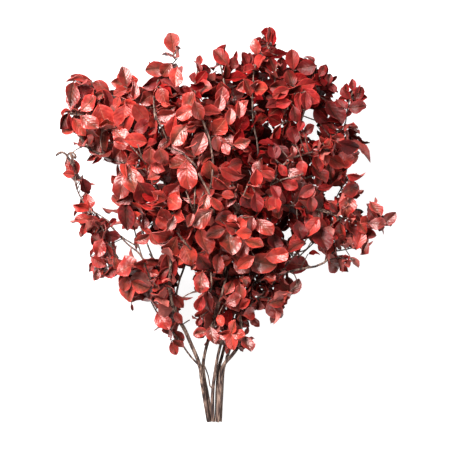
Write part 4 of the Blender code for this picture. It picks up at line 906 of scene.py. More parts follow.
# %% Twigs that lie in front
# Each row: first and last radius, and the line of the twig as seen from above
FRONT_TWIGS = [
    (1.4, 1.0, [(-110, -55), (-118, -40), (-135, -26), (-148, -13), (-160, 0)]),
    (2.0, 1.5, [(-20, -148), (-13, -120), (-6, -95), (0, -72), (4, -52)]),
    (1.5, 1.2, [(-38, 72), (-42, 83), (-50, 91), (-60, 100), (-80, 107)]),
    (1.0, 0.7, [(-80, 109), (-85, 128), (-97, 155), (-99, 178), (-92, 198)]),
    (1.4, 1.3, [(-14, 13), (-22, 42), (-30, 58), (-38, 72)]),
    (1.3, 1.6, [(-22, 44), (-19, 62), (-18, 85), (-20, 105), (-24, 125), (-32, 144)]),
    (1.3, 0.9, [(-42, 10), (-48, 30), (-55, 48)]), (1.2, 0.9, [(-42, 16), (-37, 30), (-30, 47)]),
    (1.3, 0.9, [(-43, 12), (-43, 30), (-42, 54)]), (1.3, 0.9, [(15, 12), (24, 42), (34, 66)]),
    (1.0, 0.7, [(15, 19), (10, 30), (4, 37)]), (1.0, 0.7, [(16, 20), (13, 34), (10, 42)]),
    (1.2, 0.9, [(21, -121), (44, -99), (69, -77)]), (1.2, 0.8, [(32, -91), (39, -81), (54, -66)]),
    (1.2, 0.9, [(-5, -90), (-13, -77), (-21, -65)]), (1.2, 0.9, [(-24, -95), (-20, -80), (-21, -66)]),
    (1.3, 0.9, [(-158, 91), (-175, 101), (-190, 107), (-199, 118), (-205, 137)]),
    (1.2, 0.8, [(-180, 152), (-195, 154), (-205, 153), (-216, 156)]),
    (1.2, 0.8, [(-110, 80), (-119, 97), (-131, 110)]), (1.1, 0.8, [(-112, 83), (-116, 98), (-121, 112)]),
    (1.6, 1.1, [(-35, -46), (-52, -28), (-67, -9)]), (1.2, 0.9, [(160, 8), (142, 19), (121, 26)]),
    (1.0, 0.8, [(62, 59), (78, 64), (95, 68), (106, 72)]), (1.0, 0.7, [(86, 90), (100, 96), (118, 101)]),
    (0.8, 0.6, [(162, 9), (175, 16), (181, 29)]),
    (0.9, 0.6, [(100, -36), (111, -32), (118, -22), (123, -20)]),
    (0.8, 0.9, [(-30, -93), (-42, -91), (-52, -94), (-60, -99)]),
    (1.9, 1.2, [(-211, 84), (-218, 94), (-224, 101), (-231, 102), (-236, 98)]),
    (1.6, 1.1, [(-211, 86), (-208, 94), (-211, 101), (-217, 101), (-221, 96)]),
    (0.9, 0.8, [(-211, 66), (-207, 52), (-201, 39), (-192, 26)]),
    (1.0, 0.9, [(-20, -227), (-25, -210), (-31, -194)]),
]
SNAPPING = 16.0
PREFER_HIGH = 0.12
IN_FRONT = 2.5
STEEPEST = 0.4
print(len(FRONT_TWIGS), "twigs to lie in front")

# %% Cells under a leaf, and stems that stay in sight
# Up to which y the thick limbs of a branch are in sight
SHOWN_STEMS = {
    "left_branch": -20.0, "inner_left_branch": -110.0, "middle_branch": -120.0, "right_branch": -125.0,
}
THICK_LIMB = 1.5
HIDES_WOOD_CELLS = 3
BELOW_STEM, LOWER_STEP, LOWERED_AT_MOST = 4.0, 4.0, 45.0
LEAST_LIFT = 0.5


def cells_of(leaf):
    """The part of the grid round a leaf, and which of its cells the leaf lies over."""
    rim = [(leaf.base + leaf.axes @ place * leaf.length).xy for place in RIMS[leaf.form]]
    low = [int(max(0, min(p[k] for p in rim) / CELL + GRID / 2)) for k in (0, 1)]
    high = [int(min(GRID, max(p[k] for p in rim) / CELL + GRID / 2 + 1)) for k in (0, 1)]
    x, y = np.meshgrid(cell_centres(low[0], high[0]), cell_centres(low[1], high[1]), indexing="ij")
    return (slice(low[0], high[0]), slice(low[1], high[1])), inside_of(rim, x, y)


def middle_of(leaf):
    return leaf.base + leaf.axes.col[0] * (0.5 * leaf.length)


def keep_wood_in_sight(route):
    """Marks the cells along a stem with its height, so that later leaves stay off it."""
    for a, b in zip(route, route[1:]):
        for k in range(int((b - a).length / CELL) + 1):
            place = a.lerp(b, k * CELL / max((b - a).length, CELL))
            i, j = cell_of(place.x, place.y)
            strip = wood_in_sight[i - 1:i + 2, j - 1:j + 2]
            np.maximum(strip, place.z, out=strip)


def stands_clear(solid, owner):
    """Whether a solid lies above the table, and clear of every branch but its owner."""
    return min(point.z for point in solid[0]) > LEAST_LIFT and not space.touches(solid, owner, own=False)


def lowered(branch, leaf):
    """A main leaf that would hide a stem that is in sight is set below it, if there is room."""
    part, over = cells_of(leaf)
    level = middle_of(leaf).z
    hidden = over & (wood_in_sight[part] > 0) & (wood_in_sight[part] < level + BELOW_STEM)
    if hidden.sum() <= HIDES_WOOD_CELLS:
        return leaf
    down = level - wood_in_sight[part][hidden].min() + BELOW_STEM
    while down < LOWERED_AT_MOST:
        lower = leaf._replace(base=leaf.base - Vector((0, 0, down)))
        if stands_clear(blade(lower, BLADE_THICKNESS, start=ROOT_SHARE), branch.name):
            space.add(branch.name, blade(lower, BLADE_THICKNESS), "leaf")
            return lower
        down += LOWER_STEP
    return leaf


def kept_inside(leaf):
    """A main leaf that reaches out of the crown's outline is finished in the form that reaches out least."""
    def outside(form):
        part, over = cells_of(leaf._replace(form=form))
        return np.sum(over & ~crown[part])
    best = min(range(len(FORMS)), key=outside)
    return leaf._replace(form=best) if outside(leaf.form) > REACHES_OUT + outside(best) else leaf


def nearest_main_leaf(x, y):
    """The numbers of the branch and of its main leaf whose middle lies nearest to a place seen from above."""
    ways = [
        ((middle_of(leaf).xy - Vector((x, y))).length, n, k)
        for n, branch in enumerate(branches) for k, leaf in enumerate(branch.leaves)
    ]
    return min(ways)[1:]


# %% Main leaves that are finished narrower, and those lowered under stems
reshaped = 0
for branch in branches:
    for k, leaf in enumerate(branch.leaves):
        branch.leaves[k] = kept_inside(leaf)
        reshaped += branch.leaves[k] != leaf
print(reshaped, "main leaves finished narrower")
for x, y, form in RESHAPED:
    n, k = nearest_main_leaf(x, y)
    branches[n].leaves[k] = branches[n].leaves[k]._replace(form=form)

wood_in_sight = np.zeros((GRID, GRID))
for branch in branches:
    for route, radii in branch.wood[:len(LIMBS[branch.name])]:
        if branch.name in SHOWN_STEMS and radii[0] > THICK_LIMB:
            keep_wood_in_sight([point for point in route if point.y < SHOWN_STEMS[branch.name]])
in_sight = np.zeros((GRID, GRID))
moved = 0
for branch in branches:
    for k, leaf in enumerate(branch.leaves):
        branch.leaves[k] = lowered(branch, leaf)
        moved += branch.leaves[k] != leaf
        part, over = cells_of(branch.leaves[k])
        in_sight[part] = np.maximum(in_sight[part], over * middle_of(branch.leaves[k]).z)
print(moved, "main leaves lowered under stems that are in sight")


# %% Put the front twigs on
def top_near(x, y, reach=6):
    i, k = cell_of(x, y)
    return in_sight[i - reach:i + reach + 1, k - reach:k + reach + 1].max()


def level_at(x, y):
    """The height of what is in sight there, or of the nearest wood where nothing is yet."""
    places = [place[0] for branch in branches for place in branch.places]
    return top_near(x, y) or min(places, key=lambda place: (place.xy - Vector((x, y))).length).z


def add_front_twig(first, last, line):
    """A twig over everything that lies below its line, from the nearest wood. Higher wood is preferred."""
    start = Vector(line[0])
    near = [(branch, place) for branch in branches for place in branch.places]
    branch, place = min(near, key=lambda item: (item[1][0].xy - start).length - PREFER_HIGH * item[1][0].z)
    route = [place[0].copy()]
    for x, y in line[1 if (place[0].xy - start).length < SNAPPING else 0:]:
        lowest = route[-1].z - STEEPEST * (route[-1].xy - Vector((x, y))).length
        route.append(Vector((x, y, max(top_near(x, y) + IN_FRONT, LOWEST_TWIG, lowest))))
    radii = [first + (last - first) * k / (len(route) - 1) for k in range(len(route))]
    branch.front.append((route, radii))
    space.add(branch.name, tube(route, radii, TWIG_SIDES))
    return route


for branch in branches:
    branch.front = []
for twig in FRONT_TWIGS:
    keep_wood_in_sight(add_front_twig(*twig)[1:])
print("leaves are in sight over", round(100 * np.mean(in_sight[crown] > 0)), "% of the crown")

# %% Leaves that lie in front
# Each row: middle x and y, the way it points in degrees, length, form, dye, and how far it faces the light
FRONT_LEAVES = [
    (-171, 121, -80, 36, 8, 0.08, 0.9), (-141, 146, -95, 42, 13, 0.16, 0.55),
    (-168, 148, -70, 42, 13, 0.18, 0.5), (-150, 101, -140, 40, 9, 0.12, 0.6),
    (-143, 113, 150, 26, 9, 0.05, 0.9), (-124, 118, 170, 34, 8, 0.18, 0.5), (-114, 136, 20, 28, 9, 0.5, 0.9),
    (-104, 93, -95, 28, 13, 0.18, 0.5), (-88, 92, -80, 30, 13, 0.15, 0.6), (-142, 55, -108, 42, 9, 0.2, 0.75),
    (-128, 60, -75, 44, 9, 0.16, 0.8), (-110, 42, -60, 42, 13, 0.48, 0.5), (-98, 69, 25, 22, 8, 0.1, 0.9),
    (-66, 124, -130, 36, 9, 0.06, 0.85), (-36, 112, 65, 36, 8, 0.1, 0.8), (-53, 69, -88, 42, 9, 0.15, 0.8),
    (-48, 168, 60, 34, 9, 0.1, 0.5), (-56, 155, 200, 30, 9, 0.12, 0.4), (-38, 156, -70, 30, 8, 0.08, 0.6),
    (-26, 163, 40, 28, 9, 0.1, 0.8), (-24, 150, -20, 26, 9, 0.15, 0.6), (22, 113, 5, 25, 10, 0.06, 0.95),
    (-13, 112, -85, 23, 8, 0.12, 0.6), (8, 68, -35, 38, 15, 0.22, 0.45), (4, 60, -30, 40, 9, 0.2, 0.55),
    (-6, 52, -55, 38, 15, 0.28, 0.4), (41, 65, -85, 28, 8, 0.12, 0.6), (57, 69, -35, 22, 12, 0.15, 0.6),
    (15, 84, 15, 24, 13, 0.25, 0.8), (-8, 168, 75, 26, 8, 0.12, 0.5), (6, 150, 80, 25, 8, 0.12, 0.5),
    (20, 160, 85, 25, 10, 0.14, 0.5), (14, 181, 10, 28, 9, 0.12, 0.5), (-46, 133, 10, 18, 10, 0.2, 0.6),
    (-90, 40, -30, 26, 10, 0.2, 0.5), (2, 43, 160, 22, 8, 0.05, 0.85), (5, -24, -85, 46, 9, 0.06, 0.7),
    (-51, -42, -65, 34, 13, 0.02, 0.7), (-31, -22, -75, 42, 12, 0.15, 0.6), (50, -52, -15, 44, 9, 0.02, 0.5),
    (70, -40, 5, 34, 9, 0.04, 0.5), (10, -147, 30, 26, 9, 0.02, 0.6), (0, -149, 175, 24, 12, 0.02, 0.6),
    (8, -160, -85, 28, 8, 0.04, 0.6), (17, -151, -20, 22, 9, 0.03, 0.6), (11, -139, 70, 22, 12, 0.03, 0.6),
    (-26, -106, -95, 34, 15, 0.22, 0.6), (11, -106, -60, 26, 13, 0.2, 0.7), (20, -92, -85, 26, 8, 0.15, 0.6),
    (5, -85, 60, 24, 10, 0.2, 0.8), (-35, -78, -100, 32, 9, 0.28, 0.4), (68, -118, -60, 34, 13, 0.15, 0.6),
    (72, -105, 10, 28, 8, 0.2, 0.5), (104, 79, -90, 23, 13, 0.16, 0.75), (143, 74, -80, 24, 8, 0.16, 0.6),
    (128, 70, -60, 34, 12, 0.3, 0.7), (166, 92, 20, 32, 13, 0.02, 0.6), (152, 88, -30, 30, 8, 0.03, 0.5),
    (168, 27, -100, 32, 13, 0.15, 0.7), (174, 50, 15, 28, 13, 0.25, 0.4), (180, 66, -20, 28, 15, 0.32, 0.3),
    (185, -18, 70, 30, 8, 0.15, 0.7), (158, -9, -85, 28, 10, 0.2, 0.6), (132, -18, -75, 40, 9, 0.5, 0.7),
    (203, 14, -70, 26, 10, 0.2, 0.5), (206, 22, -60, 28, 12, 0.2, 0.6), (226, 10, 40, 28, 8, 0.15, 0.6),
    (210, 2, -10, 26, 9, 0.22, 0.5), (188, -2, -60, 22, 8, 0.2, 0.5), (126, 11, -80, 22, 13, 0.2, 0.7),
    (112, 48, 30, 28, 8, 0.22, 0.5), (66, 28, -95, 28, 13, 0.2, 0.75), (68, 48, 110, 24, 10, 0.4, 0.6),
    (88, 56, -20, 24, 9, 0.3, 0.4), (118, 30, -90, 24, 8, 0.35, 0.4), (-202, 205, 165, 34, 16, 0.25, 0.5),
    (-214, 181, -100, 38, 12, 0.28, 0.6), (-194, 184, -38, 30, 9, 0.62, 0.3),
    (-173, 193, 150, 28, 8, 0.22, 0.6), (-172, 182, 185, 24, 12, 0.2, 0.6),
    (-139, 207, 100, 32, 8, 0.18, 0.7), (-149, 198, 170, 22, 9, 0.2, 0.5), (-147, 185, 195, 24, 8, 0.08, 0.8),
    (-124, 189, 78, 30, 15, 0.25, 0.5), (-103, 197, 196, 30, 12, 0.5, 0.5),
    (-96, 216, 182, 36, 8, 0.12, 0.75), (-83, 213, -128, 26, 13, 0.12, 0.7),
    (-70, 203, -102, 30, 9, 0.15, 0.6), (-67, 187, -110, 20, 8, 0.7, 0.3), (-7, 234, 130, 34, 8, 0.3, 0.5),
    (12, 225, 75, 20, 9, 0.45, 0.4), (-37, 221, 100, 20, 15, 0.3, 0.5), (-110, 176, -150, 30, 9, 0.2, 0.8),
    (-95, 178, -85, 26, 15, 0.2, 0.6), (-87, 177, -75, 28, 13, 0.15, 0.6), (-188, 168, 40, 30, 9, 0.25, 0.8),
    (-225, 145, -122, 28, 12, 0.45, 0.5), (-215, 140, -85, 30, 16, 0.5, 0.4),
    (-202, 136, -60, 30, 8, 0.15, 0.7), (-188, 141, -42, 32, 9, 0.12, 0.5),
    (-150, 169, -110, 20, 8, 0.08, 0.9), (-210, 82, -70, 25, 8, 0.32, 0.5), (-218, 72, 170, 18, 8, 0.15, 0.6),
    (-195, 55, -65, 26, 8, 0.72, 0.4), (-191, 34, -78, 22, 9, 0.2, 0.6), (-201, 27, 160, 26, 12, 0.15, 0.6),
    (-200, 10, 178, 24, 8, 0.18, 0.7), (-197, -5, -105, 18, 8, 0.35, 0.5), (-181, -5, -120, 14, 8, 0.12, 0.6),
    (-182, -18, -120, 20, 9, 0.7, 0.4), (-176, -32, -110, 30, 9, 0.3, 0.6),
    (-163, -36, -60, 26, 8, 0.28, 0.6), (-157, -15, -15, 24, 9, 0.5, 0.4), (-176, -50, -32, 26, 8, 0.3, 0.5),
    (-188, -57, -120, 16, 12, 0.45, 0.5), (-179, -68, -100, 18, 8, 0.3, 0.6),
    (-160, -62, -160, 26, 12, 0.5, 0.4), (-171, 6, 20, 14, 12, 0.6, 0.4), (-157, 5, 35, 16, 12, 0.5, 0.3),
    (-66, -105, -55, 24, 8, 0.1, 0.6), (-66, -128, -60, 20, 8, 0.12, 0.5), (-88, -134, -60, 32, 9, 0.18, 0.7),
    (-66, -155, -45, 24, 8, 0.3, 0.4), (-73, -172, -70, 22, 8, 0.22, 0.5), (-67, -166, -35, 20, 12, 0.1, 0.7),
    (-38, -133, -110, 15, 8, 0.5, 0.3), (-36, -148, 190, 20, 9, 0.2, 0.6), (-20, -152, -80, 26, 9, 0.15, 0.4),
    (-37, -108, -110, 26, 8, 0.38, 0.2), (12, -103, 20, 26, 9, 0.12, 0.7), (29, -164, -75, 26, 9, 0.22, 0.5),
    (97, -84, 60, 26, 8, 0.12, 0.6), (39, -133, -45, 18, 10, 0.2, 0.4), (-135, -58, 20, 38, 9, 0.28, 0.9),
    (-130, -114, -80, 14, 16, 0.3, 0.4), (-140, -80, -100, 28, 8, 0.12, 0.5),
    (-118, -84, -30, 30, 10, 0.15, 0.4), (-99, -65, 160, 16, 9, 0.08, 0.6), (-79, -58, -82, 40, 8, 0.42, 0.1),
    (-114, -18, 15, 24, 10, 0.15, 0.5), (-99, -19, -60, 19, 8, 0.06, 0.6), (-111, 9, 80, 28, 15, 0.3, 0.4),
    (-138, 12, -85, 44, 12, 0.85, 0.7), (-88, 5, 120, 24, 9, 0.06, 0.5), (-74, 4, 60, 24, 8, 0.12, 0.5),
    (-48, 9, 70, 22, 8, 0.08, 0.5), (-29, 31, -110, 28, 8, 0.06, 0.5), (-14, 30, -60, 24, 12, 0.15, 0.5),
    (-35, 12, -150, 36, 9, 0.05, 0.5), (-18, 5, 0, 32, 10, 0.22, 0.6), (-15, -9, -160, 30, 8, 0.08, 0.7),
    (8, 9, -40, 18, 9, 0.06, 1.0), (10, -4, -30, 26, 10, 0.3, 0.5), (35, 2, -100, 22, 8, 0.1, 0.6),
    (53, -3, -50, 32, 9, 0.08, 0.6), (66, -24, -90, 30, 9, 0.7, 0.8), (26, -10, 0, 26, 10, 0.02, 0.7),
    (22, -30, -120, 30, 9, 0.06, 0.6), (39, -25, -20, 28, 12, 0.04, 0.6), (26, -50, -150, 30, 8, 0.02, 0.7),
    (-31, -52, -60, 34, 10, 0.48, 0.2), (-12, -52, -100, 30, 12, 0.2, 0.8), (29, 35, 120, 28, 9, 0.48, 0.3),
    (42, 31, -80, 30, 8, 0.42, 0.4), (148, 25, -60, 18, 8, 0.6, 0.4), (173, -5, -70, 24, 12, 0.38, 0.5),
    (119, -1, -125, 32, 8, 0.15, 0.5), (100, -5, -80, 28, 9, 0.6, 0.3), (95, -27, -160, 28, 10, 0.3, 0.5),
    (121, -36, 0, 16, 8, 0.2, 0.5), (97, -53, 172, 40, 9, 0.55, 0.5), (153, -56, -35, 32, 13, 0.18, 0.3),
    (178, -50, -70, 20, 8, 0.2, 0.5), (190, -30, -120, 24, 12, 0.2, 0.3), (206, 25, 118, 28, 15, 0.15, 0.6),
    (92, 231, 95, 32, 8, 0.12, 0.5), (110, 218, 190, 30, 13, 0.34, 0.5), (116, 232, 135, 18, 15, 0.3, 0.4),
    (133, 214, 60, 18, 9, 0.4, 0.6), (142, 203, 80, 18, 8, 0.4, 0.5), (146, 190, -75, 18, 9, 0.5, 0.6),
    (89, 203, 105, 26, 9, 0.12, 0.6), (111, 194, 10, 28, 8, 0.14, 0.5), (117, 177, -42, 32, 9, 0.18, 0.9),
    (98, 170, -105, 28, 15, 0.25, 0.5), (108, 170, -95, 28, 12, 0.3, 0.4), (72, 192, 175, 28, 9, 0.12, 0.5),
    (74, 182, 205, 28, 8, 0.15, 0.6), (78, 168, 190, 24, 8, 0.2, 0.5), (95, 152, -80, 26, 10, 0.35, 0.4),
    (149, 154, -62, 42, 12, 0.5, 0.4), (158, 166, -60, 22, 9, 0.45, 0.6), (130, 150, -50, 28, 10, 0.45, 0.4),
    (137, 132, -50, 22, 8, 0.24, 0.5), (155, 121, 0, 20, 9, 0.05, 0.6), (166, 184, 120, 22, 12, 0.35, 0.5),
    (184, 184, 60, 22, 9, 0.4, 0.4), (175, 195, 90, 18, 8, 0.25, 0.7), (182, 163, 0, 28, 9, 0.35, 0.6),
    (176, 134, -45, 28, 8, 0.22, 0.4), (32, 230, 80, 20, 8, 0.25, 0.6), (170, 109, -25, 34, 10, 0.6, 0.5),
    (110, 108, -30, 18, 8, 0.2, 0.9), (93, 103, -80, 16, 8, 0.14, 0.5), (66, 104, 100, 26, 13, 0.7, 0.6),
    (78, 100, -60, 26, 13, 0.6, 0.5), (78, 76, -60, 20, 8, 0.28, 0.6), (125, 85, -80, 26, 12, 0.25, 0.6),
    (93, 125, 100, 26, 9, 0.5, 0.8), (103, 138, 70, 18, 8, 0.4, 0.7), (115, 133, 30, 20, 9, 0.42, 0.5),
]
FACING_AWAY, FACING_LIGHT = Vector((0.35, -0.30, 1)), Vector((-0.24, 0.27, 1))
LEAF_MIDDLE = 0.55
STACKING = [-4, -2, 0, 2, 4, 6, 9]
LONGEST_FRONT_STALK = 45.0
STALK_CHOICES, STALK_CHECKS = 12, (0.2, 0.4, 0.6, 0.8)
FRONT_STALK = [0.8, 0.5]
TALLEST = 190.0
FACING_JITTER = 0.16
FRONT_SEED = 3
# From where to where the front leaves turn darker to the right and to the top, and how much
RIGHT_SIDE, UPPER_SIDE = (-80, 90), (-80, 200)
FRONT_DARKER = 0.22


def wood_table(branch):
    """The places on a branch's wood as one table, made anew once twigs were added."""
    if len(branch.wood_table) != len(branch.places):
        branch.wood_table = np.array([tuple(place[0]) for place in branch.places])
    return branch.wood_table


def nearest_in_space(point):
    """How far the nearest wood is that a stalk reaches inside the crown, with its branch and its place."""
    found = []
    for branch in branches:
        ways = np.linalg.norm(wood_table(branch) - np.array(point), axis=1)
        for k in np.argsort(ways)[:STALK_CHOICES]:
            place = branch.places[int(k)]
            if all(in_crown(place[0].lerp(point, share)) for share in STALK_CHECKS):
                found.append((ways[k], branch, place))
                break
    return min(found, key=lambda item: item[0], default=(math.inf, None, None))


def leaf_at(x, y, height, turn, out, rise, form, length):
    """A leaf whose middle lies at a place, and which points and faces as given."""
    along = Vector((math.cos(turn), math.sin(turn), rise))
    along = (along - out * along.dot(out)).normalized()
    base = Vector((x, y, height)) - along * (LEAF_MIDDLE * length)
    return Leaf(form, None, base, Matrix((along, out.cross(along), out)).transposed(), length)


def smooth_step(low, high, value):
    share = max(0.0, min(1.0, (value - low) / (high - low)))
    return share * share * (3 - 2 * share)


def add_front_leaf(rng, x, y, degrees, length, form, dye, light):
    """One leaf of the table, set just over what is in sight there. 1 where it is placed, or else 0."""
    jitter = Vector((rng.gauss(0, FACING_JITTER), rng.gauss(0, FACING_JITTER), 0))
    out = (FACING_AWAY.lerp(FACING_LIGHT, light) + jitter).normalized()
    level = level_at(x, y)
    for step in STACKING:
        leaf = leaf_at(x, y, level + step, math.radians(degrees), out, 0, form, length)
        solid = blade(leaf, BLADE_THICKNESS)
        if stands_clear(solid, ""):
            break
    way, branch, place = nearest_in_space(leaf.base)
    if way > LONGEST_FRONT_STALK or max(point.z for point in solid[0]) > TALLEST:
        return 0
    dye += FRONT_DARKER * smooth_step(*RIGHT_SIDE, x) * smooth_step(*UPPER_SIDE, y)
    branch.shown.append((leaf, dye))
    branch.stalks.append(([place[0], leaf.base + leaf.axes.col[0]], FRONT_STALK))
    space.add(branch.name, solid, "leaf")
    part, over = cells_of(leaf)
    in_sight[part] = np.maximum(in_sight[part], over * middle_of(leaf).z)
    return 1


for branch in branches:
    branch.shown, branch.stalks, branch.wood_table = [], [], np.zeros((0, 3))
rng = random.Random(FRONT_SEED)
placed = sum(add_front_leaf(rng, *row) for row in FRONT_LEAVES)
print(placed, "of", len(FRONT_LEAVES), "leaves placed in front")

# %% Room for an extra leaf
EXTRA_SEED = 7
EXTRA_TRIES = 9
EXTRA_SCATTER = 0.62
# How far a leaf is turned and tilted at random, and how much further at each new try
EXTRA_TURN, EXTRA_TURN_STEP = 0.15, 0.14
EXTRA_TILT, EXTRA_TILT_STEP = 0.08, 0.06
EXTRA_SHRINK = 0.97
FIRST_EXTRA_FORM = 2
HIDES_AT_MOST = 0.22


def hides_too_much(leaf):
    """Whether a leaf would lie over a stem that is in sight, or over too much of what is in sight already."""
    part, over = cells_of(leaf)
    height = middle_of(leaf).z
    if np.sum(over & (wood_in_sight[part] > 0) & (wood_in_sight[part] < height)) > HIDES_WOOD_CELLS:
        return True
    shown = in_sight[part]
    return np.sum(over & (shown > 0) & (shown < height)) > HIDES_AT_MOST * max(1, over.sum())


def has_room(branch, leaf):
    solid = blade(leaf, BLADE_THICKNESS)
    if not in_bounds(leaf, solid[0], TALLEST):
        return False
    if not all(in_crown(point) for point in solid[0][1:len(OUTLINE)]) or hides_too_much(leaf):
        return False
    if space.touches(solid, branch.name, own=False):
        return False
    return not space.touches(blade(leaf, BLADE_THICKNESS, start=ROOT_SHARE), branch.name, own=True)


def keep_extra(branch, leaf):
    branch.extras.append(leaf)
    space.add(branch.name, blade(leaf, BLADE_THICKNESS), "leaf")


def add_extra_leaf(branch, rng, base, axes, azimuth, lean, size):
    """An extra leaf, turned and shrunk a little more at each try, or none where it never has room."""
    form = rng.randrange(FIRST_EXTRA_FORM, len(FORMS))
    for attempt in range(EXTRA_TRIES):
        turn = azimuth + rng.gauss(0, EXTRA_TURN + EXTRA_TURN_STEP * attempt)
        tilt = lean + rng.gauss(0, EXTRA_TILT + EXTRA_TILT_STEP * attempt)
        along = set_out(*axes, turn, tilt)
        out = outward(base) + Vector([rng.gauss(0, EXTRA_SCATTER) for _ in range(3)])
        leaf = Leaf(form, None, base.copy(), leaf_axes(along, out), size)
        if has_room(branch, leaf):
            keep_extra(branch, leaf)
            return
        size *= EXTRA_SHRINK


# %% Whorls round the twig tips, and leaves back along the twigs
WHORL = (4, 7)
WHORL_LEAN = (38, 84)
WHORL_SHARE = 0.9
WHORL_START = (0.4, 1.5)
WHORL_SIZES = (0.66, 1.0)
BACK_STEP = (2.2, 5.0)


def shoot_frame(before, tip):
    ahead = (tip - before).normalized()
    flat = Vector((0, 0, 1)).cross(ahead)
    flat = flat.normalized() if flat.length > 0.01 else Vector((1, 0, 0))
    return ahead, flat, ahead.cross(flat)


def add_whorl(branch, rng, length, route, leaves):
    before, tip = route[-2], route[-1]
    axes = shoot_frame(before, tip)
    room = WHORL_SHARE * (tip - before).length
    back = rng.uniform(*WHORL_START)
    azimuth = rng.uniform(0, 2 * math.pi)
    for _ in range(leaves):
        size = length * rng.uniform(*WHORL_SIZES)
        lean = math.radians(rng.uniform(*WHORL_LEAN))
        base = tip - axes[0] * min(back, room)
        add_extra_leaf(branch, rng, base, axes, azimuth, lean, size)
        back += rng.uniform(*BACK_STEP)
        azimuth += SPIRAL_TURN


rng = random.Random(EXTRA_SEED)
for branch in branches:
    branch.extras = []
    for shoot, route in branch.twigs:
        add_whorl(branch, rng, shoot[5], route, rng.randint(*WHORL))
print(sum(len(branch.extras) for branch in branches), "leaves in whorls")

# %% Where the crown is still thin, seen from above
class Cover:
    """How many leaves lie over each small cell of the crown."""

    def __init__(self):
        self.depth = np.zeros((GRID, GRID), dtype=int)

    def add(self, leaf):
        part, over = cells_of(leaf)
        self.depth[part] += over

    def share(self):
        return np.mean(self.depth[crown] > 0)


def all_leaves():
    shown = [leaf for branch in branches for leaf, dye in branch.shown]
    return [leaf for branch in branches for leaf in branch.leaves + branch.extras] + shown


cover = Cover()
for leaf in all_leaves():
    cover.add(leaf)
print("the leaves cover", round(100 * cover.share()), "% of the crown")

# %% Leaves and short side shoots where it is thin
FILL_TRIES = 5000
BARE_FIRST, WELL_COVERED = 0.6, 2
# Leaf sizes, their share on the left, and how much smaller they are on the right
FILL_SIZES = (24.0, 34.0)
LEFT_SIZE, SMALLER_RIGHT = 1.20, 0.38
# Up to which way a single leaf is set, and up to which a side shoot
SINGLE_WAY, LONGEST_WAY = 23.0, 55.0
ALMOST_AHEAD = math.radians(8)
FILL_RISE = (-7, 14)
FILL_WHORL = (4, 6)
FILL_TWIG_RADIUS = 1.2
SHORT_OF_PLACE = 0.3
FILL_PREFER_HIGH, BRANCH_CHANCE = 0.10, (0, 9)


def any_place(cells, rng):
    """The middle of one of the marked cells, drawn at random, or None where none is marked."""
    marked = np.argwhere(cells)
    return (marked[rng.randrange(len(marked))] + 0.5 - GRID / 2) * CELL if len(marked) else None


def twig_is_blocked(branch, route):
    solid = tube(route, [FILL_TWIG_RADIUS] * len(route), TWIG_SIDES)
    return space.touches(solid, branch.name, own=False) or space.meets_leaf(solid)


def nearest_wood(point, rng):
    """The branch and its place nearest to a point, seen from above. Higher wood is preferred."""
    found = []
    for branch in branches:
        table = wood_table(branch)
        cost = np.hypot(table[:, 0] - point.x, table[:, 1] - point.y) - FILL_PREFER_HIGH * table[:, 2]
        cost = cost + rng.uniform(*BRANCH_CHANCE)
        k = int(np.argmin(cost))
        found.append((cost[k], branch, branch.places[k]))
    return min(found, key=lambda item: item[0])[1:]


def fill_thin_place(rng):
    """One leaf, or a twig with a whorl where the way is longer, from the nearest wood to a thin place."""
    wanted = 1 if rng.random() < BARE_FIRST else WELL_COVERED
    thin = any_place(crown & (cover.depth < wanted), rng)
    if thin is None:
        return
    x, y = thin
    branch, place = nearest_wood(Vector((x, y, 0)), rng)
    way = Vector((x - place[0].x, y - place[0].y, rng.uniform(*FILL_RISE)))
    size = rng.uniform(*FILL_SIZES) * (LEFT_SIZE - SMALLER_RIGHT * smooth_step(*RIGHT_SIDE, x))
    known = len(branch.extras)
    if way.length < SINGLE_WAY:
        flat = Vector((0, 0, 1)).cross(place[1]).normalized()
        axes = (way.normalized(), flat, way.normalized().cross(flat))
        add_extra_leaf(branch, rng, place[0], axes, rng.uniform(0, ANY_TURN), ALMOST_AHEAD, size)
    elif way.length < LONGEST_WAY:
        tip = place[0] + way * (1 - SHORT_OF_PLACE * size / way.length)
        tip.z = max(tip.z, LOWEST_TWIG)
        route = shoot_route(place, tip, way.normalized(), Vector((0, 0, 0)))
        if twig_is_blocked(branch, route):
            return
        branch.add_wood(route, [0.5 * TWIG_DIAMETER] * len(route), TWIG_SIDES)
        add_whorl(branch, rng, size, route, rng.randint(*FILL_WHORL))
    for leaf in branch.extras[known:]:
        cover.add(leaf)


for _ in range(FILL_TRIES):
    fill_thin_place(rng)
print("twigs and leaves fill it to", round(100 * cover.share()), "% of the crown")

# %% Leaves over the cells that stay bare
UNDER_TRIES = 9000
UNDER_SIZES = (17.0, 29.0)
UNDER_LEFT_SIZE, UNDER_SMALLER_RIGHT = 1.12, 0.30
UNDER_RIGHT_SIDE = (-60, 110)
UNDER_WAY = 42.0
# How high the leaf may lie: from this height to a gap below what is in sight within a reach of some cells
LOWEST_UNDER, UNDER_GAP, UNDER_REACH = 6.0, 4, 12
UNDER_TILT, UNDER_RISE = 0.4, 0.2
UNDER_STALK, UNDER_STALK_ROOM = [0.7, 0.5], [0.6, 0.5]


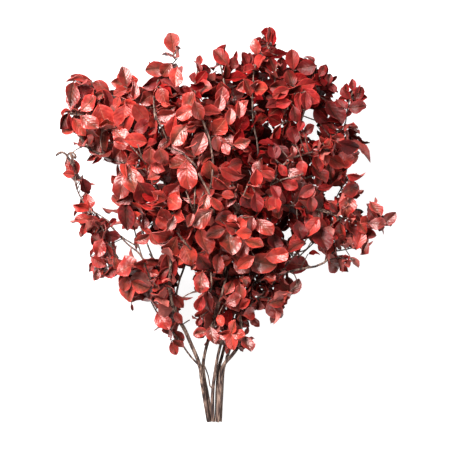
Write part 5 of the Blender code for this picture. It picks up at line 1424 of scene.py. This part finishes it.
def fill_bare_cell(rng):
    """A leaf over a bare cell, at a free height, on a stalk of its own from the nearest wood."""
    bare = any_place(crown & (cover.depth < 1), rng)
    if bare is None:
        return
    x, y = bare
    share = UNDER_LEFT_SIZE - UNDER_SMALLER_RIGHT * smooth_step(*UNDER_RIGHT_SIDE, x)
    size = rng.uniform(*UNDER_SIZES) * share
    highest = max(LOWEST_UNDER + UNDER_GAP, top_near(x, y, UNDER_REACH) - UNDER_GAP)
    height = rng.uniform(LOWEST_UNDER, highest)
    turn = rng.uniform(0, 2 * math.pi)
    out = Vector((rng.gauss(0, UNDER_TILT), rng.gauss(0, UNDER_TILT), 1)).normalized()
    rise = rng.gauss(0, UNDER_RISE)
    form = rng.randrange(FIRST_EXTRA_FORM, len(FORMS))
    leaf = leaf_at(x, y, height, turn, out, rise, form, size)
    way, branch, place = nearest_in_space(leaf.base)
    if way > UNDER_WAY or not has_room(branch, leaf):
        return
    stalk = [place[0], leaf.base + leaf.axes.col[0]]
    if not space.touches(tube(stalk, UNDER_STALK_ROOM, TWIG_SIDES), branch.name, own=False):
        keep_extra(branch, leaf)
        branch.stalks.append((stalk, UNDER_STALK))
        cover.add(leaf)


for _ in range(UNDER_TRIES):
    fill_bare_cell(rng)
print(sum(len(branch.extras) for branch in branches), "extra leaves; with them the leaves cover",
      round(100 * cover.share()), "% of the crown")

# %% [markdown]
# ## A leaf
# A pittosporum leaf is a leathery oval with a short stalk, a rounded tip, a sunk midrib and edges that wave.
# It could be cut from one flat shape, but then all light would fall on it alike. So a small grid is drawn in
# row by row to the leaf's outline, bent as this form of leaf is, and given its thickness with Solidify.
# There are seventeen forms, and about two thousand copies, so each has fewer than ninety faces.

# %% One leaf of each form
ROWS_ACROSS = 4
LEAF_THICKNESS = 0.013
FINE_WAVE, FINE_WAVES = 0.060, 13.0
FINE_FOLD = 0.06
SIDE_ROLL = 0.045
RIM_WAVE, RIM_WAVES = 0.042, 9.0
OTHER_SIDE_SHIFT = 1.6
MIDRIB_SINK = 0.03
EDGE_ROLL, ROLLS_UP_BELOW = 0.045, 1.4


def select_row(leaf, place):
    mesh = bmesh.from_edit_mesh(leaf.data)
    for vert in mesh.verts:
        vert.select = abs(vert.co.x - place) < 1e-4
    mesh.select_flush(True)
    bmesh.update_edit_mesh(leaf.data)


def bend(leaf, form):
    for vert in leaf.data.vertices:
        u, v = vert.co.x, 2 * vert.co.y
        side = OTHER_SIDE_SHIFT if v > 0 else 0.0
        place = blade_place(form, u, v * (1 + RIM_WAVE * math.sin(RIM_WAVES * u + 3 * form.phase + side)))
        place.z += FINE_WAVE * math.sin(FINE_WAVES * u + 2 * form.phase + side) * v * v
        place.z += FINE_FOLD * abs(v) - SIDE_ROLL * v * v
        roll = math.copysign(EDGE_ROLL, form.phase - ROLLS_UP_BELOW)
        place.z -= MIDRIB_SINK * (1 - abs(v)) ** 2 + roll * v ** 4
        vert.co = place


def model_leaf(number, form):
    select_only()
    bpy.ops.mesh.primitive_grid_add(
        x_subdivisions=len(LEAF_ROWS) - 1, y_subdivisions=ROWS_ACROSS, size=1, location=(0.5, 0, 0)
    )
    leaf = bpy.context.object
    leaf.name = "leaf_form_" + str(number)
    bpy.ops.object.transform_apply(location=True)
    bpy.ops.object.mode_set(mode="EDIT")
    for k, (u, share) in reversed(list(enumerate(LEAF_ROWS))):
        select_row(leaf, k / (len(LEAF_ROWS) - 1))
        bpy.ops.transform.translate(value=(u - k / (len(LEAF_ROWS) - 1), 0, 0))
        bpy.ops.transform.resize(value=(1, share, 1), center_override=(u, 0, 0))
    bpy.ops.object.mode_set(mode="OBJECT")
    bend(leaf, form)
    thickness = leaf.modifiers.new("Thickness", "SOLIDIFY")
    thickness.thickness = LEAF_THICKNESS
    thickness.offset = 0
    bpy.ops.object.modifier_apply(modifier=thickness.name)
    bpy.ops.object.shade_smooth_by_angle(angle=math.radians(50))
    return leaf


leaf_forms = [model_leaf(number, form) for number, form in enumerate(FORMS)]
print(len(leaf_forms), "forms of", len(leaf_forms[0].data.polygons), "faces")

# %% Which faces are the underside, and how each leaf is dyed
UPPER_FACES = (len(LEAF_ROWS) - 1) * ROWS_ACROSS


def add_tones(leaf):
    tones = leaf.data.color_attributes.new("leaf_tones", "FLOAT_COLOR", "CORNER")
    values = np.zeros((len(leaf.data.loops), 4), dtype=np.float32)
    for face in leaf.data.polygons:
        under = 0.0 if face.index < UPPER_FACES else (1.0 if face.index < 2 * UPPER_FACES else 0.5)
        values[list(face.loop_indices), 2] = under
    values[:, 3] = 1
    tones.data.foreach_set("color", values.ravel())
    return values


tone_tables = [add_tones(leaf) for leaf in leaf_forms]
print(UPPER_FACES, "upper faces on each form")

# %% How deep a leaf lies in the bunch, for the painted shade of the leaves inside
TOP_CELL = 9.0
TOP_GRID = 64
DEEP_FROM, DEEP_TO = 12.0, 62.0


def top_cell(place):
    return int(place.x / TOP_CELL + TOP_GRID / 2), int(place.y / TOP_CELL + TOP_GRID / 2)


def top_of_bunch():
    """The height of the topmost leaves round each place."""
    top = np.zeros((TOP_GRID, TOP_GRID))
    for leaf in all_leaves():
        place = middle_of(leaf)
        cell = top_cell(place)
        top[cell] = max(top[cell], place.z)
    for _ in range(2):
        padded = np.pad(top, 1)
        top = np.max([padded[i:i + TOP_GRID, k:k + TOP_GRID] for i in range(3) for k in range(3)], axis=0)
    return top


bunch_top = top_of_bunch()
print("the highest leaf lies", round(bunch_top.max()), "mm up")

# %% Places where the top leaves are paler and where all leaves are darker, partly their own dye, partly painted light and shade
# Each row: x, y, reach and how much
# Paler places: partly paler dye, partly painted light on leaves that lie in shade
PALE_DYE_AND_LIGHT_PLACES = [
    (-45, 160, 20, 0.25), (-25, 160, 14, 0.15), (20, 160, 10, 0.15), (5, 150, 10, 0.12), (-8, 168, 10, 0.15),
    (-62, 120, 12, 0.25), (-35, 108, 14, 0.22), (-12, 112, 9, 0.2), (22, 112, 10, 0.32), (-93, 95, 16, 0.12),
    (-52, 70, 16, 0.2), (-97, 68, 8, 0.15), (10, 58, 16, 0.1), (42, 65, 10, 0.15), (60, 68, 8, 0.15),
    (0, 45, 8, 0.2), (-50, -42, 14, 0.3), (8, -25, 12, 0.2), (-38, -15, 12, 0.12), (55, -50, 16, 0.22),
    (75, -42, 8, 0.2), (8, -150, 15, 0.4), (12, -165, 8, 0.3), (-65, -108, 8, 0.1), (-25, -102, 10, 0.08),
    (65, -120, 12, 0.12), (-140, 55, 16, 0.15), (-172, 122, 10, 0.3), (-145, 115, 9, 0.25),
    (-150, 100, 14, 0.15), (-145, 145, 16, 0.1), (103, 80, 10, 0.18), (65, 30, 10, 0.22), (125, 10, 8, 0.15),
    (165, 28, 14, 0.18), (185, -18, 10, 0.18), (160, -10, 9, 0.12), (170, 92, 10, 0.18), (228, 12, 10, 0.18),
    (205, 15, 10, 0.1), (145, 78, 8, 0.12), (115, 45, 10, 0.14), (-180, -60, 30, 0.08), (75, 190, 16, 0.12),
    (25, 45, 30, 0.06), (40, -75, 34, 0.22), (-15, -110, 40, 0.22), (20, -42, 60, 0.36), (-40, -45, 40, 0.26),
    (85, -100, 30, 0.25), (190, 108, 38, 0.3), (198, 28, 40, 0.2), (-200, 122, 36, 0.2), (45, 205, 34, 0.22),
    (40, 250, 30, 0.15), (-197, 15, 24, 0.14), (-172, -38, 22, 0.12), (-73, -168, 18, 0.15),
    (-90, -135, 16, 0.12), (-66, -115, 14, 0.12),
]
# Darker places: partly darker dye, partly painted shade in the hollows of the bunch
DARK_DYE_AND_SHADE_PLACES = [
    (-93, 138, 10, 0.3), (50, 165, 18, 0.35), (48, 100, 14, 0.3), (70, 110, 22, 0.3), (75, -10, 14, 0.35),
    (85, 5, 12, 0.35), (-30, -52, 12, 0.35), (-12, -25, 10, 0.4), (-38, -30, 8, 0.2), (0, -118, 12, 0.25),
    (100, 18, 12, 0.3), (100, -55, 12, 0.25), (-195, 55, 8, 0.2), (-205, 142, 10, 0.2), (-218, 142, 9, 0.2),
    (60, -85, 12, 0.3), (50, -105, 10, 0.3), (-110, 40, 12, 0.15), (145, -15, 10, 0.2), (-75, 165, 9, 0.2),
    (-25, 70, 7, 0.25), (25, 95, 8, 0.15), (-40, -80, 8, 0.1), (35, -90, 8, 0.15), (120, 200, 26, 0.2),
    (150, 150, 22, 0.2), (0, 232, 24, 0.2), (-72, 254, 16, 0.2), (-30, 200, 30, 0.2), (5, 200, 22, 0.12),
    (-175, -40, 26, 0.12), (30, 228, 18, 0.2), (60, 262, 20, 0.12), (-38, 222, 12, 0.3), (95, 225, 16, 0.15),
    (44, 122, 46, 0.36), (-120, 120, 36, 0.08), (-195, 40, 30, 0.1), (-100, 245, 40, 0.15),
]
# How dark the leaves are on the left, how much darker on the right and at the top right, and the painted
# shade deep inside
DYE_LEFT, DYE_RIGHT, DYE_UPPER_RIGHT, PAINTED_SHADE_DEEP = 0.12, 0.10, 0.30, 0.42
DYE_SCATTER = 0.12
UPPER_PART = (40, 200)
print(len(PALE_DYE_AND_LIGHT_PLACES), "paler places,", len(DARK_DYE_AND_SHADE_PLACES), "darker places")


def tone_at(places, x, y):
    return max([
        share * smooth_step(reach, 0.5 * reach, math.hypot(x - a, y - b)) for a, b, reach, share in places
    ])


def dye_of(leaf, rng):
    """From 0, coral, on the left and on top, to 1, dark wine, on the right, and darker deep inside as painted
    shade.
    """
    middle = middle_of(leaf)
    right = smooth_step(*RIGHT_SIDE, middle.x)
    upper = smooth_step(*UPPER_PART, middle.y)
    # Leaves far below the top of the bunch get darker dye: painted shade.
    shade_depth = smooth_step(DEEP_FROM, DEEP_TO, bunch_top[top_cell(middle)] - middle.z)
    dye = DYE_LEFT + (DYE_RIGHT + DYE_UPPER_RIGHT * upper) * right + PAINTED_SHADE_DEEP * shade_depth
    dye += rng.gauss(0, DYE_SCATTER)
    # Paler and darker places: dye that is partly painted light and painted shade
    dye += tone_at(DARK_DYE_AND_SHADE_PLACES, middle.x, middle.y) - (1 - shade_depth) * tone_at(PALE_DYE_AND_LIGHT_PLACES, middle.x, middle.y)
    return max(0.0, min(1.0, dye))


# %% [markdown]
# ## The wood
# The stems are round, taper from the cut end to the tips, and swell a little here and there. A curve with a
# round bevel gives exactly that: a point on the route at each place, with its own radius. The curve is made
# a mesh, its caps are merged with its walls, and the base of each stem is cut on the slant, as shears leave
# it.

# %% Curves for limbs and twigs
TWIG_SLIMNESS = 0.74
STEM_FULLNESS = 1.1
SWELLING, SWELLS = 0.10, (-0.4, 1)
LYING_LIFT = 1.3
CORNER_STEPS = 3


def scaled(wood, factor):
    return [(route, [radius * factor for radius in radii]) for route, radii in wood]


def model_wood(name, routes, resolution, rng):
    curve = bpy.data.curves.new(name, "CURVE")
    curve.dimensions = "3D"
    curve.bevel_depth = MM
    curve.bevel_resolution = resolution
    curve.use_fill_caps = True
    for route, radii in routes:
        spline = curve.splines.new("BEZIER")
        spline.bezier_points.add(len(route) - 1)
        spline.resolution_u = CORNER_STEPS
        for k, (point, place) in enumerate(zip(spline.bezier_points, route)):
            point.co = Vector((place.x, place.y, max(place.z, LYING_LIFT * radii[k]))) * MM
            point.handle_left_type = point.handle_right_type = "AUTO"
            point.radius = radii[k] * (1 + SWELLING * rng.uniform(*SWELLS))
    wood = bpy.data.objects.new(name, curve)
    bpy.context.scene.collection.objects.link(wood)
    select_only(wood)
    bpy.ops.object.convert(target="MESH")
    wood = bpy.context.object
    bpy.ops.object.mode_set(mode="EDIT")
    bpy.ops.mesh.select_all(action="SELECT")
    bpy.ops.mesh.remove_doubles(threshold=1e-7)
    bpy.ops.mesh.normals_make_consistent(inside=False)
    bpy.ops.object.mode_set(mode="OBJECT")
    for vertex in wood.data.vertices:
        vertex.co.z = max(vertex.co.z, 0.0)
    bpy.ops.object.shade_smooth_by_angle(angle=math.radians(60))
    return wood


# %% The slanted cut at the base of a stem
CUT_SLANT = 0.30
CUT_OFF = 1.2
CUT_REACH, CUT_CORNERS = 0.006, 6


def cut_base(stem, route, rng):
    ahead = (route[1] - route[0]).normalized()
    aside = Vector((rng.uniform(-1, 1), 0, rng.uniform(-1, 1))).normalized()
    normal = (ahead + aside * CUT_SLANT).normalized()
    place = (route[0] + ahead * CUT_OFF) * MM
    select_only(stem)
    bpy.ops.object.mode_set(mode="EDIT")
    bpy.ops.mesh.select_all(action="SELECT")
    bpy.ops.mesh.bisect(plane_co=place, plane_no=normal, use_fill=True, clear_inner=True)
    bpy.ops.object.mode_set(mode="OBJECT")
    for face in stem.data.polygons:
        if len(face.vertices) > CUT_CORNERS and (face.center - place).length < CUT_REACH:
            face.material_index = 1
            face.use_smooth = False


# %% [markdown]
# ## The leaf finish
# The leaves are preserved in glycerine and dyed: a leathery skin, orange-red to wine, with a paler matte
# underside, a pale midrib and side veins pressed into the skin, and edges where the dye shows brighter. The
# pale leaves on top are waxy and the darker ones have a satin skin. Leaves that are not in front and have the
# darkest dye, most of them deep inside, lose almost all their shine: painted shade. A picture could carry
# that, but then every leaf would be the same. So the finish is built from the leaf's own map, which runs
# along and across each blade, and from the three tones that each leaf carries: its shade, its dye and its
# side.

# %% Helpers for finishes
def new_finish(name):
    material = bpy.data.materials.new(name)
    material.use_nodes = True
    return material, material.node_tree, material.node_tree.nodes["Principled BSDF"]


def plug(tree, socket, value):
    if isinstance(value, bpy.types.NodeSocket):
        tree.links.new(value, socket)
    else:
        socket.default_value = value


def calc(tree, operation, *values, clamp=False):
    node = tree.nodes.new("ShaderNodeMath")
    node.operation = operation
    node.use_clamp = clamp
    for socket, value in zip(node.inputs, values):
        plug(tree, socket, value)
    return node.outputs[0]


def mixed(tree, share, first, second, blend="MIX"):
    node = tree.nodes.new("ShaderNodeMix")
    node.data_type = "RGBA"
    node.blend_type = blend
    plug(tree, node.inputs[0], share)
    plug(tree, node.inputs[6], first)
    plug(tree, node.inputs[7], second)
    return node.outputs[2]


def ramp(tree, share, stops):
    node = tree.nodes.new("ShaderNodeValToRGB")
    while len(node.color_ramp.elements) < len(stops):
        node.color_ramp.elements.new(0.5)
    for element, (place, colour) in zip(node.color_ramp.elements, stops):
        element.position = place
        element.color = (*colour, 1)
    plug(tree, node.inputs[0], share)
    return node.outputs[0]


def mottling(tree, scale, detail=3.0, stretch=(1, 1, 1)):
    coords = tree.nodes.new("ShaderNodeTexCoord")
    mapping = tree.nodes.new("ShaderNodeMapping")
    mapping.inputs["Scale"].default_value = stretch
    tree.links.new(coords.outputs["Object"], mapping.inputs["Vector"])
    node = tree.nodes.new("ShaderNodeTexNoise")
    node.inputs["Scale"].default_value = scale
    node.inputs["Detail"].default_value = detail
    tree.links.new(mapping.outputs[0], node.inputs["Vector"])
    return node.outputs[0]


def tone_grey(tree, value):
    node = tree.nodes.new("ShaderNodeCombineColor")
    for socket in node.inputs:
        tree.links.new(value, socket)
    return node.outputs[0]


def emboss(tree, shader, height, strength, distance):
    bump = tree.nodes.new("ShaderNodeBump")
    bump.inputs["Strength"].default_value = strength
    bump.inputs["Distance"].default_value = distance
    tree.links.new(height, bump.inputs["Height"])
    tree.links.new(bump.outputs[0], shader.inputs["Normal"])


# %% The leaf's veins and edge, from its own map
VEIN_PAIRS = 8.0


def blade_map(tree):
    """Places on the blade: along it, and from the midrib, 0, to the edge, 1."""
    node = tree.nodes.new("ShaderNodeUVMap")
    node.uv_map = "UVMap"
    parts = tree.nodes.new("ShaderNodeSeparateXYZ")
    tree.links.new(node.outputs[0], parts.inputs[0])
    across = calc(tree, "ABSOLUTE", calc(tree, "MULTIPLY_ADD", parts.outputs[1], 2.0, -1.0))
    return parts.outputs[0], across


def vein_lines(tree, along, across):
    midrib = calc(tree, "SUBTRACT", 1.0, calc(tree, "MULTIPLY", across, 11.0), clamp=True)
    rising = calc(tree, "MULTIPLY_ADD", across, -2.2, calc(tree, "MULTIPLY", along, VEIN_PAIRS))
    wave = calc(tree, "ABSOLUTE", calc(tree, "MULTIPLY_ADD", calc(tree, "FRACT", rising), 2.0, -1.0))
    side = calc(tree, "MULTIPLY_ADD", wave, 7.0, -6.0, clamp=True)
    side = calc(tree, "MULTIPLY", side, calc(tree, "SUBTRACT", 1.0, across))
    return midrib, side, calc(tree, "SUBTRACT", 1.0, wave)


# %% The dyed, waxy leaf
DYE_STOPS = [
    (0.0, (0.34, 0.023, 0.013)), (0.22, (0.26, 0.012, 0.009)), (0.45, (0.18, 0.0045, 0.0055)),
    (0.72, (0.11, 0.0014, 0.0026)), (1.0, (0.060, 0.0005, 0.0012)),
]
WAX_TINT = (1.0, 0.78, 0.75, 1)
BROWN_STOPS = [(0.0, (0.12, 0.028, 0.012)), (0.5, (0.062, 0.010, 0.006)), (1.0, (0.020, 0.003, 0.002))]
BRIGHT_EDGE = (0.52, 0.026, 0.012)
PALE_VEIN = (0.42, 0.10, 0.065)
PALE_UNDERSIDE = (0.36, 0.10, 0.08)


def leaf_tones(tree):
    tones = tree.nodes.new("ShaderNodeAttribute")
    tones.attribute_name = "leaf_tones"
    parts = tree.nodes.new("ShaderNodeSeparateColor")
    tree.links.new(tones.outputs["Color"], parts.inputs[0])
    return parts.outputs


def leaf_colour(tree, tones, across, midrib, veins):
    """Blotched dye, browner in the middle and along the veins, brighter at the edge, pale underneath."""
    shade, dye, under = tones
    blotches = mottling(tree, 210.0)
    uneven = calc(tree, "ADD", dye, calc(tree, "MULTIPLY_ADD", blotches, 0.8, -0.40), clamp=True)
    colour = ramp(tree, uneven, DYE_STOPS)
    brown = ramp(tree, uneven, BROWN_STOPS)
    centre = calc(tree, "MULTIPLY", calc(tree, "MULTIPLY_ADD", across, -1.15, 1.0, clamp=True), blotches)
    browned = calc(tree, "MULTIPLY", calc(tree, "FRACT", calc(tree, "MULTIPLY", shade, 5.3)), 2.5)
    colour = mixed(tree, calc(tree, "MULTIPLY", centre, browned, clamp=True), colour, brown)
    bright = calc(tree, "MULTIPLY", calc(tree, "SUBTRACT", 1.0, dye), 0.7)
    edge = calc(tree, "MULTIPLY_ADD", across, 6.0, -5.0, clamp=True)
    colour = mixed(tree, calc(tree, "MULTIPLY", edge, bright), colour, (*BRIGHT_EDGE, 1))
    colour = mixed(tree, calc(tree, "MULTIPLY", veins, 0.35), colour, mixed(tree, 0.6, colour, brown))
    colour = mixed(tree, calc(tree, "MULTIPLY", midrib, bright), colour, (*PALE_VEIN, 1))
    pale = mixed(tree, bright, colour, (*PALE_UNDERSIDE, 1))
    colour = mixed(tree, calc(tree, "MULTIPLY", under, 0.9), colour, pale)
    brightness = calc(tree, "MULTIPLY_ADD", shade, 0.85, 0.52)
    return mixed(tree, 1.0, colour, tone_grey(tree, brightness), "MULTIPLY")


def leaf_roughness(tree, dye, under, wax):
    """Uneven, and rougher where the leaf is darker, has less wax or shows its underside."""
    uneven = calc(tree, "MULTIPLY_ADD", mottling(tree, 240.0, 3.0), 0.22, 0.33)
    upper = calc(tree, "ADD", uneven, calc(tree, "MULTIPLY_ADD", dye, 0.12, 0.12 * (1 - wax) - 0.02))
    return calc(tree, "MULTIPLY_ADD", under, 0.20, upper)


def leaf_relief(tree, midrib, quilting):
    """The midrib sunk in, the skin raised between the side veins, fine wrinkles and broad dents."""
    sunk = calc(tree, "MULTIPLY_ADD", quilting, 0.10, calc(tree, "MULTIPLY", midrib, -0.25))
    wrinkles = calc(tree, "MULTIPLY_ADD", mottling(tree, 330.0, 3.0), 0.12, sunk)
    return calc(tree, "MULTIPLY_ADD", mottling(tree, 110.0, 2.0), 0.7, wrinkles)


def leaf_finish(name, wax):
    material, tree, shader = new_finish(name)
    tones = leaf_tones(tree)
    along, across = blade_map(tree)
    midrib, veins, quilting = vein_lines(tree, along, across)
    tree.links.new(leaf_colour(tree, tones, across, midrib, veins), shader.inputs["Base Color"])
    tree.links.new(leaf_roughness(tree, tones[1], tones[2], wax), shader.inputs["Roughness"])
    shader.inputs["Specular IOR Level"].default_value = 0.06 + 0.88 * wax
    shader.inputs["Specular Tint"].default_value = WAX_TINT
    emboss(tree, shader, leaf_relief(tree, midrib, quilting), 0.9, 0.0022)
    return material


# Three finishes of each tone and how waxy they are; the last, almost without shine, is painted shade
SKINS = (("dyed", 1.0), ("satin", 0.4), ("shaded_matte", 0.0))
SATIN_FROM, SHADED_MATTE_FROM = 0.32, 0.45
leaf_materials = {
    tone: [leaf_finish(name + "_leaf_" + tone, wax) for name, wax in SKINS]
    for tone in ("orange", "crimson", "wine")
}
print("leaf finishes", [material.name for pair in leaf_materials.values() for material in pair])

# %% [markdown]
# ## The bark finish
# The stems are dry and grey-brown, with long dark grooves and paler strips between them. On the thin twigs
# the strips are darker, and the dye has run into the grooves. Both are noise in the space of the piece, drawn
# out along the bunch, since the stems run that way. The fresh cut is the same noise in pale wood.

# %% Bark, twigs and the cut end
def bark_finish(name, groove, middle, strip):
    material, tree, shader = new_finish(name)
    fibres = mottling(tree, 520.0, 4.0, stretch=(1, 0.06, 1))
    patches = mottling(tree, 60.0, 2.0)
    share = calc(tree, "MULTIPLY_ADD", patches, 0.30, calc(tree, "MULTIPLY_ADD", fibres, 1.0, -0.15))
    colour = ramp(tree, share, [(0.40, groove), (0.51, middle), (0.65, strip)])
    tree.links.new(colour, shader.inputs["Base Color"])
    tree.links.new(calc(tree, "MULTIPLY_ADD", fibres, -0.25, 0.85), shader.inputs["Roughness"])
    shader.inputs["Specular IOR Level"].default_value = 0.35
    emboss(tree, shader, fibres, 0.7, 0.0006)
    return material


stem_bark = bark_finish("stem_bark", (0.015, 0.006, 0.005), (0.082, 0.043, 0.032), (0.28, 0.185, 0.14))
twig_bark = bark_finish("twig_bark", (0.026, 0.008, 0.006), (0.10, 0.046, 0.034), (0.22, 0.135, 0.10))
cut_wood = bark_finish("cut_wood", (0.20, 0.12, 0.08), (0.42, 0.29, 0.20), (0.60, 0.47, 0.35))
print("bark finishes", stem_bark.name, twig_bark.name, cut_wood.name)

# %% [markdown]
# ## Putting the leaves on
# Each leaf is a copy of one of the seventeen forms with a mesh of its own, turned and scaled to its place,
# and dyed. All the leaves of a branch are then joined into one piece, and its wood into another, since they
# grew together. The two replace the branch's solid, which stays in place for collision.

# %% Copy and place the leaves
LEAF_SLOTS = {
    "left_branch": "leaf_orange", "inner_left_branch": "leaf_orange", "middle_branch": "leaf_orange",
    "upper_right_branch": "leaf_crimson", "right_branch": "leaf_crimson", "back_branch": "leaf_wine",
}
LYING_LEVEL, LYING_HALF = 0.25, 0.2


def place_leaf(leaf, finishes, rng, dye=None):
    """A copy of the leaf's form, set in place. A leaf in front brings its own dye, and never the shineless
    skin of painted shade.
    """
    source = leaf_forms[leaf.form]
    copy = source.copy()
    copy.data = source.data.copy()
    count = len(copy.data.vertices)
    points = np.empty(count * 3)
    copy.data.vertices.foreach_get("co", points)
    axes = np.array(leaf.axes)
    points = points.reshape(-1, 3) * leaf.length @ axes.T + np.array(leaf.base)
    upper = np.where(np.arange(count) < count // 2, 1.0, -1.0) * math.copysign(LYING_HALF, leaf.axes.col[2].z)
    points[:, 2] = np.maximum(points[:, 2], LYING_LEVEL + upper)
    copy.data.vertices.foreach_set("co", (points * MM).ravel())
    values = tone_tables[leaf.form].copy()
    values[:, 0] = rng.random()
    inside = dye is None
    dye = dye_of(leaf, rng) if inside else dye
    values[:, 1] = dye
    copy.data.color_attributes["leaf_tones"].data.foreach_set("color", values.ravel())
    # Leaves not in front with the darkest dye take the shineless skin: painted shade.
    copy.data.materials.append(finishes[2 if inside and dye > SHADED_MATTE_FROM else 1 if dye > SATIN_FROM else 0])
    bpy.context.scene.collection.objects.link(copy)
    return copy


def join(items, name):
    select_only(*items)
    bpy.ops.object.join()
    joined = bpy.context.object
    joined.name = name
    joined.data.name = name
    joined.data.update()
    return joined


# %% Dress the branches
MAIN_STALK = [0.75, 0.6]
rng = random.Random(EXTRA_SEED + 1)
for branch in branches:
    slot = LEAF_SLOTS[branch.name]
    finishes = leaf_materials[slot.split("_")[1]]
    leaves = [place_leaf(leaf, finishes, rng) for leaf in branch.leaves + branch.extras]
    leaves += [place_leaf(leaf, finishes, rng, dye) for leaf, dye in branch.shown]
    leaves = join(leaves, branch.name + "_leaves")
    count = len(LIMBS[branch.name])
    limbs, shoots = branch.wood[:count], branch.wood[count:]
    stem = model_wood(branch.name + "_stem", scaled(limbs[:1], STEM_FULLNESS), 4, rng)
    stem.data.materials.append(stem_bark)
    stem.data.materials.append(cut_wood)
    cut_base(stem, limbs[0][0], rng)
    side = model_wood(branch.name + "_limbs", limbs[1:], 3, rng)
    side.data.materials.append(stem_bark)
    stalks = branch.stalks + [([leaf.root, leaf.base], MAIN_STALK) for leaf in branch.leaves if leaf.root]
    thin = scaled(shoots, TWIG_SLIMNESS) + branch.front + stalks
    twigs = model_wood(branch.name + "_twigs", thin, 1, rng)
    twigs.data.materials.append(twig_bark)
    wood = join([stem, side, twigs], branch.name + "_wood")
    for piece, finish in ((leaves, slot), (wood, "bark")):
        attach(piece, "root")
        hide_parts(branch.name)
    triangles = [sum(len(face.vertices) - 2 for face in piece.data.polygons) for piece in (leaves, wood)]
    print(branch.name, len(branch.leaves), "+", len(branch.extras), "leaves;", triangles, "triangles")

for leaf in leaf_forms:
    bpy.data.objects.remove(leaf)
